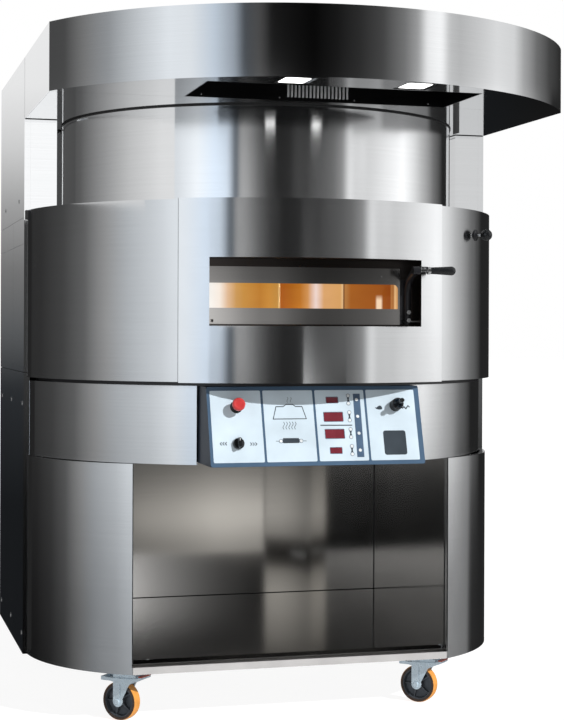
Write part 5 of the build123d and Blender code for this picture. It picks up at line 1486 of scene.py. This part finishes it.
class Sky(Tree):
    """The node tree that gives the light coming from every direction."""

    def __init__(self, world: bpy.types.World) -> None:
        """Starts with the direction looked in, as a bearing and a rise.

        Args:
            world: The world whose tree is built.
        """
        world.use_nodes = True
        super().__init__(world.node_tree)
        self.nodes.clear()
        place = self.nodes.new("ShaderNodeTexCoord")
        parts = self.nodes.new("ShaderNodeSeparateXYZ")
        self.links.new(place.outputs["Generated"], parts.inputs["Vector"])
        towards = self.math("MULTIPLY", parts.outputs["Y"], -1.0)
        turn = self.math("ARCTAN2", parts.outputs["X"], towards)
        self.bearing = self.math("MULTIPLY", turn, 180 / math.pi)
        self.rise = self.math("MULTIPLY", self.math("ARCSINE", parts.outputs["Z"]), 180 / math.pi)

    def step(self, value: Socket, low: float, high: float, start: float = 0.0, end: float = 1.0) -> Socket:
        """Goes smoothly from one number to another while a value goes from low to high."""
        return self.spread(value, start, end, (low, high), smooth=True)

    def ramp(self, value: Socket, reach: float, stops: Sequence[tuple[float, float, Colour]]) -> Socket:
        """Runs a value, from minus to plus its reach, through stops of value, level and tint."""
        lights = [(place, light(tint, level)) for place, level, tint in stops]
        return self.between(value, (-reach, reach), lights)

    def card(self, under: Socket, card: Card) -> Socket:
        """Hangs a card over the light so far."""
        across = self.window(self.bearing, card.bearing, card.soft, smooth=True)
        upright = self.window(self.rise, card.rise, card.soft_rise, smooth=True)
        return self.blend(under, light(WHITE, card.level), self.math("MULTIPLY", across, upright))

    def dim(self, colour: Socket, factor: Socket) -> Socket:
        """Scales a light."""
        node = self.nodes.new("ShaderNodeVectorMath")
        node.operation = "SCALE"
        self.links.new(colour, node.inputs["Vector"])
        self.links.new(factor, node.inputs["Scale"])
        return node.outputs["Vector"]

    def shine(self, steel: Socket, fill: float) -> None:
        """Ends the tree: the cards for reflections, an even fill for matt surfaces, white for the camera.

        Args:
            steel: The light that reflections show.
            fill: The level of the even fill.
        """
        path = self.nodes.new("ShaderNodeLightPath")
        sources = []
        for strength in (fill, 1.0, 1.0):
            source = self.nodes.new("ShaderNodeBackground")
            source.inputs["Strength"].default_value = strength
            source.inputs["Color"].default_value = (1.0, 1.0, 1.0, 1.0)
            sources.append(source)
        even, cards, white = sources
        self.links.new(steel, cards.inputs["Color"])
        shader = even.outputs["Background"]
        for ray, source in (("Is Glossy Ray", cards), ("Is Camera Ray", white),
                            ("Is Transmission Ray", white)):
            mix = self.nodes.new("ShaderNodeMixShader")
            self.links.new(path.outputs[ray], mix.inputs["Fac"])
            self.links.new(shader, mix.inputs[1])
            self.links.new(source.outputs["Background"], mix.inputs[2])
            shader = mix.outputs["Shader"]
        target = self.nodes.new("ShaderNodeOutputWorld")
        self.links.new(shader, target.inputs["Surface"])


@dataclass
class Studio:
    """The floor, the light and the camera."""

    camera_place: Point3 = (-1.2623, -4.6551, 1.10905)
    yaw: float = 15.412
    tilt: float = 0.0037
    lens: float = 80.64
    shift: float = -0.0405
    key_from: Point3 = (0.63, -0.848, 0.647)
    key_strength: float = 4.0
    fill: float = 0.42
    neck: Point2 = (1464.0, 1734.0)
    posts: Point2 = (1440.0, 1760.0)

    def camera(self) -> None:
        """Stands the camera where the photograph was taken from."""
        yaw = math.radians(self.yaw)
        ahead = Vector((math.sin(yaw), math.cos(yaw), 0))
        right = Vector((math.cos(yaw), -math.sin(yaw), 0))
        up = Vector((0, 0, 1))
        right, up = (right + up * self.tilt).normalized(), (up - right * self.tilt).normalized()
        data = bpy.data.cameras.new("camera")
        data.lens = self.lens
        data.sensor_width = 36.0
        data.shift_y = self.shift
        camera = bpy.data.objects.new("camera", data)
        turn = Matrix((right, up, -ahead)).transposed().to_4x4()
        camera.matrix_world = Matrix.Translation(self.camera_place) @ turn
        bpy.context.scene.collection.objects.link(camera)
        bpy.context.scene.camera = camera

    def stand(self, name: str, shape: Shape, material: Material) -> bpy.types.Object:
        """Puts a piece of the studio, drawn in millimetres, in the scene."""
        piece = bpy.data.objects.new(name, shape.set_at(Matrix.Scale(MM, 4)).to_mesh(name, material))
        bpy.context.scene.collection.objects.link(piece)
        return piece

    def floor(self) -> None:
        """Lays the pale floor, which glows a little so that the shadow on it stays light."""
        recipe = Recipe("floor_paint")
        tones = recipe.tones(recipe.noise(recipe.place(), 3.0, 4.0), [(0.3, (0.22,) * 3), (0.7, (0.24,) * 3)])
        recipe.link(tones, "Base Color")
        recipe.set(roughness=0.9, specular_ior_level=0.0, emission_color=(1.0, 1.0, 1.0, 1.0),
                   emission_strength=0.86)
        floor = self.stand("floor", Shape().prism(circle((0, 0), 60000.0, 64), -20.0, 0.0), recipe.material)
        floor.visible_glossy = False

    def glow_card(self, name: str, line: Sequence[Point2], heights: Point2,
                  along: Sequence[tuple[float, float]],
                  upright: Sequence[tuple[float, float]] = ((0.0, 1.0), (1.0, 1.0)),
                  tint: Colour = WHITE) -> None:
        """Hangs an upright card that only reflections see, lit on its front and clear from behind.

        Args:
            name: The card's name.
            line: Its line in plan, in millimetres, with the lit front on the right hand.
            heights: The heights of its lower and upper edge.
            along: The level at each X along it, in millimetres.
            upright: The factor at each share of its height.
            tint: The light's colour.
        """
        recipe = Recipe(name)
        parts = recipe.axes()
        glow = [(place * MM, light(tint, level)) for place, level in along]
        recipe.link(recipe.between(parts["X"], (glow[0][0], glow[-1][0]), glow), "Emission Color")
        rise = recipe.spread(parts["Z"], 0.0, 1.0, (heights[0] * MM, heights[1] * MM))
        recipe.link(recipe.tones(rise, [(place, light(WHITE, level)) for place, level in upright]),
                    "Emission Strength")
        recipe.set(base_color=(0.0, 0.0, 0.0, 1.0), specular_ior_level=0.0)
        facing = recipe.nodes.new("ShaderNodeNewGeometry")
        clear = recipe.nodes.new("ShaderNodeBsdfTransparent")
        mix = recipe.nodes.new("ShaderNodeMixShader")
        recipe.links.new(facing.outputs["Backfacing"], mix.inputs["Fac"])
        recipe.links.new(recipe.shader.outputs["BSDF"], mix.inputs[1])
        recipe.links.new(clear.outputs["BSDF"], mix.inputs[2])
        recipe.links.new(mix.outputs["Shader"], recipe.nodes["Material Output"].inputs["Surface"])
        corners = [(x * MM, y * MM, height * MM) for height in heights for x, y in line]
        count = len(line)
        faces = [(index, index + 1, count + index + 1, count + index) for index in range(count - 1)]
        mesh = bpy.data.meshes.new(name)
        mesh.from_pydata(corners, [], faces)
        mesh.materials.append(recipe.material)
        card = bpy.data.objects.new(name, mesh)
        bpy.context.scene.collection.objects.link(card)
        for rays in ("camera", "diffuse", "transmission", "shadow"):
            setattr(card, "visible_" + rays, False)

    def reflectors(self) -> None:
        """Hangs the cards that light the posts, the drum's ends and the storage bay's back wall."""
        self.glow_card("left_post_card", ((-600.0, 80.0), (-730.0, 80.0)), self.posts,
                       ((-730.0, 1.2), (-600.0, 1.2)))
        self.glow_card("right_post_card", ((770.0, 80.0), (640.0, 80.0)), self.posts,
                       ((640.0, 0.78), (770.0, 0.78)))
        self.glow_card("drum_left_card", ((-640.0, -400.0), (-625.0, 152.0)), self.neck,
                       ((-640.0, 0.86), (-637.5, 0.84), (-636.5, 0.79), (-634.7, 0.70), (-633.0, 0.61),
                        (-631.4, 0.48), (-629.6, 0.34), (-627.8, 0.22), (-626.0, 0.12), (-625.0, 0.10)))
        self.glow_card("left_niche_card", ((-632.5, 156.0), (-632.5, 398.0)), self.neck,
                       ((-640.0, 0.085), (-625.0, 0.085)))
        self.glow_card("drum_right_card", ((625.0, 152.0), (628.0, 105.0)), self.neck,
                       ((625.0, 0.035), (628.0, 0.06)))
        self.glow_card("right_niche_card", ((606.0, 160.0), (606.0, 398.0)), self.neck,
                       ((600.0, 0.72), (612.0, 0.72)))
        self.glow_card("left_edge_card", ((-735.0, 152.0), (-690.0, 152.0)), (160.0, 1462.0),
                       ((-735.0, 0.02), (-690.0, 0.02)))
        self.glow_card("door_card", ((302.0, -485.0), (-302.0, -485.0)), (1122.0, 1306.0),
                       ((-302.0, 0.80), (-277.0, 0.72), (-229.0, 0.55), (-182.0, 0.36), (-134.0, 0.25),
                        (-86.0, 0.22),
                        (-37.0, 0.14), (11.0, 0.085), (60.0, 0.067), (109.0, 0.075), (159.0, 0.10),
                        (210.0, 0.124),
                        (261.0, 0.163), (302.0, 0.20)), ((0.0, 1.0), (0.3, 0.95), (0.7, 0.45), (1.0, 0.35)))
        self.glow_card("bay_card", ((1120.0, -2500.0), (200.0, -2500.0)), (-180.0, 430.0),
                       ((200.0, 0.30), (317.0, 0.42), (611.0, 0.66), (782.0, 0.86), (898.0, 0.86),
                        (1015.0, 0.78),
                        (1120.0, 0.70)),
                       ((0.0, 0.30), (0.23, 0.55), (0.36, 0.82), (0.50, 0.78), (0.62, 0.55), (0.81, 0.30),
                        (1.0, 0.16)), WARM)
        self.glow_card("bay_floor_card", ((1120.0, -2500.0), (200.0, -2500.0)), (500.0, 910.0),
                       ((200.0, 0.95), (317.0, 0.70), (440.0, 0.40), (560.0, 0.25), (700.0, 0.13),
                        (820.0, 0.07),
                        (1032.0, 0.016), (1120.0, 0.01)))
        self.glow_card("bay_corner_card", ((596.0, 45.0), (594.0, -55.0), (557.0, -114.0), (465.0, -188.0)),
                       (190.0, 640.0), ((465.0, 0.40), (520.0, 0.38), (560.0, 0.32), (596.0, 0.22)),
                       ((0.0, 0.04), (0.09, 0.10), (0.17, 0.66), (0.35, 1.0), (0.53, 0.84), (0.75, 0.55),
                        (1.0, 0.2)),
                       WARM)
        self.glow_card("bay_flag", ((597.6, -52.0), (597.6, 836.0)), (186.6, 734.0),
                       ((0.0, 0.0), (600.0, 0.0)))

    def key(self) -> None:
        """Hangs the key light, high in front on the right."""
        sun = bpy.data.lights.new("key", "SUN")
        sun.energy = self.key_strength
        sun.angle = math.radians(0.8)
        holder = bpy.data.objects.new("key", sun)
        holder.rotation_mode = "QUATERNION"
        holder.rotation_quaternion = Vector(self.key_from).to_track_quat("Z", "Y")
        holder.visible_glossy = False
        bpy.context.scene.collection.objects.link(holder)

    def world(self) -> None:
        """Builds the light round the oven: soft boxes at its sides, dark in front, a pale backdrop behind."""
        world = bpy.data.worlds.new("studio")
        bpy.context.scene.world = world
        sky = Sky(world)
        white, blue, pale_blue = WHITE, (0.78, 0.88, 1.0), (0.92, 0.96, 1.0)
        middle = ((-156, 0.03, white), (-140, 0.035, white), (-119, 0.07, white), (-103, 0.155, white),
                  (-89, 0.40, white), (-76, 0.64, pale_blue), (-59, 0.90, pale_blue), (-48, 1.20, pale_blue),
                  (-38, 1.26, blue), (-34, 1.24, blue), (-30.5, 1.14, blue), (-28.6, 0.76, blue),
                  (-27, 0.30, blue),
                  (-25.2, 0.24, blue), (-23, 0.52, white), (-20, 0.50, white), (-13, 0.20, white),
                  (-8, 0.075, white),
                  (-2, 0.03, white), (4, 0.035, white), (9, 0.075, white), (14, 0.07, white),
                  (21, 0.12, white),
                  (30, 0.18, white), (36, 0.34, white), (40, 0.98, white), (44, 0.74, white),
                  (52, 0.78, white),
                  (79, 1.30, white), (97, 0.60, white), (112, 0.20, white), (127, 0.02, white))
        upper = ((-130, 0.06, white), (-107, 0.08, white), (-96, 0.22, white), (-84, 0.37, pale_blue),
                 (-69, 0.76, pale_blue), (-58, 1.02, pale_blue), (-49, 0.98, pale_blue), (-40, 0.84, blue),
                 (-32, 0.44, blue), (-28.6, 0.10, blue), (-23, 0.085, white), (-18, 0.008, white),
                 (-2, 0.002, white),
                 (7, 0.01, white), (16, 0.03, white), (25, 0.07, white), (34, 0.21, white), (40, 0.42, white),
                 (44, 1.05, white), (50, 1.20, white), (54, 0.66, white), (59, 0.58, white),
                 (69, 0.72, white),
                 (79, 0.88, white), (90, 0.82, white), (97, 0.46, white), (108, 0.19, white),
                 (122, 0.07, white),
                 (140, 0.03, white))
        back = ((-6, 0.012, blue), (-2, 0.03, blue), (0, 0.115, pale_blue), (2.2, 0.19, white),
                (4.3, 0.37, white),
                (6.4, 0.68, white), (8.5, 0.88, white), (14, 0.95, white))
        colour = sky.blend(sky.ramp(sky.bearing, 180, middle), sky.ramp(sky.bearing, 180, upper),
                           sky.step(sky.rise, 7.7, 8.7))
        colour = sky.dim(colour, sky.step(sky.rise, -11.0, -1.5, 0.24, 1.0))
        behind = sky.step(sky.math("ABSOLUTE", sky.bearing), 155.0, 158.0)
        colour = sky.blend(colour, sky.ramp(sky.rise, 20, back), behind)
        for card in (Card((-36, 27), (-30, -3.6), 0.002, 1.0, 0.6), Card((62, 104), (-30, -4.9), 0.19, 6.0,
                                                                         0.6),
                     Card((106, 150), (-30, -4.9), 0.02, 8.0, 0.6), Card((-180, 180), (-91, -28), 0.40, 1,
                                                                         9)):
            colour = sky.card(colour, card)
        sky.shine(colour, self.fill)

    def build(self) -> None:
        """Sets up the studio."""
        self.camera()
        self.floor()
        self.reflectors()
        self.key()
        self.world()


def main() -> None:
    """Builds the scene."""
    logging.basicConfig(level=logging.INFO, format="%(name)s %(message)s")
    view = bpy.context.scene.view_settings
    view.view_transform = "Standard"
    finishes = Finishes()
    Studio().build()
    for assembly in (Stand, ControlPanel, BakingChamber, Door, Hood, Undercarriage):
        LOG.info("building %s", assembly.__name__)
        assembly(finishes).build()


if __name__ == "__main__":
    main()
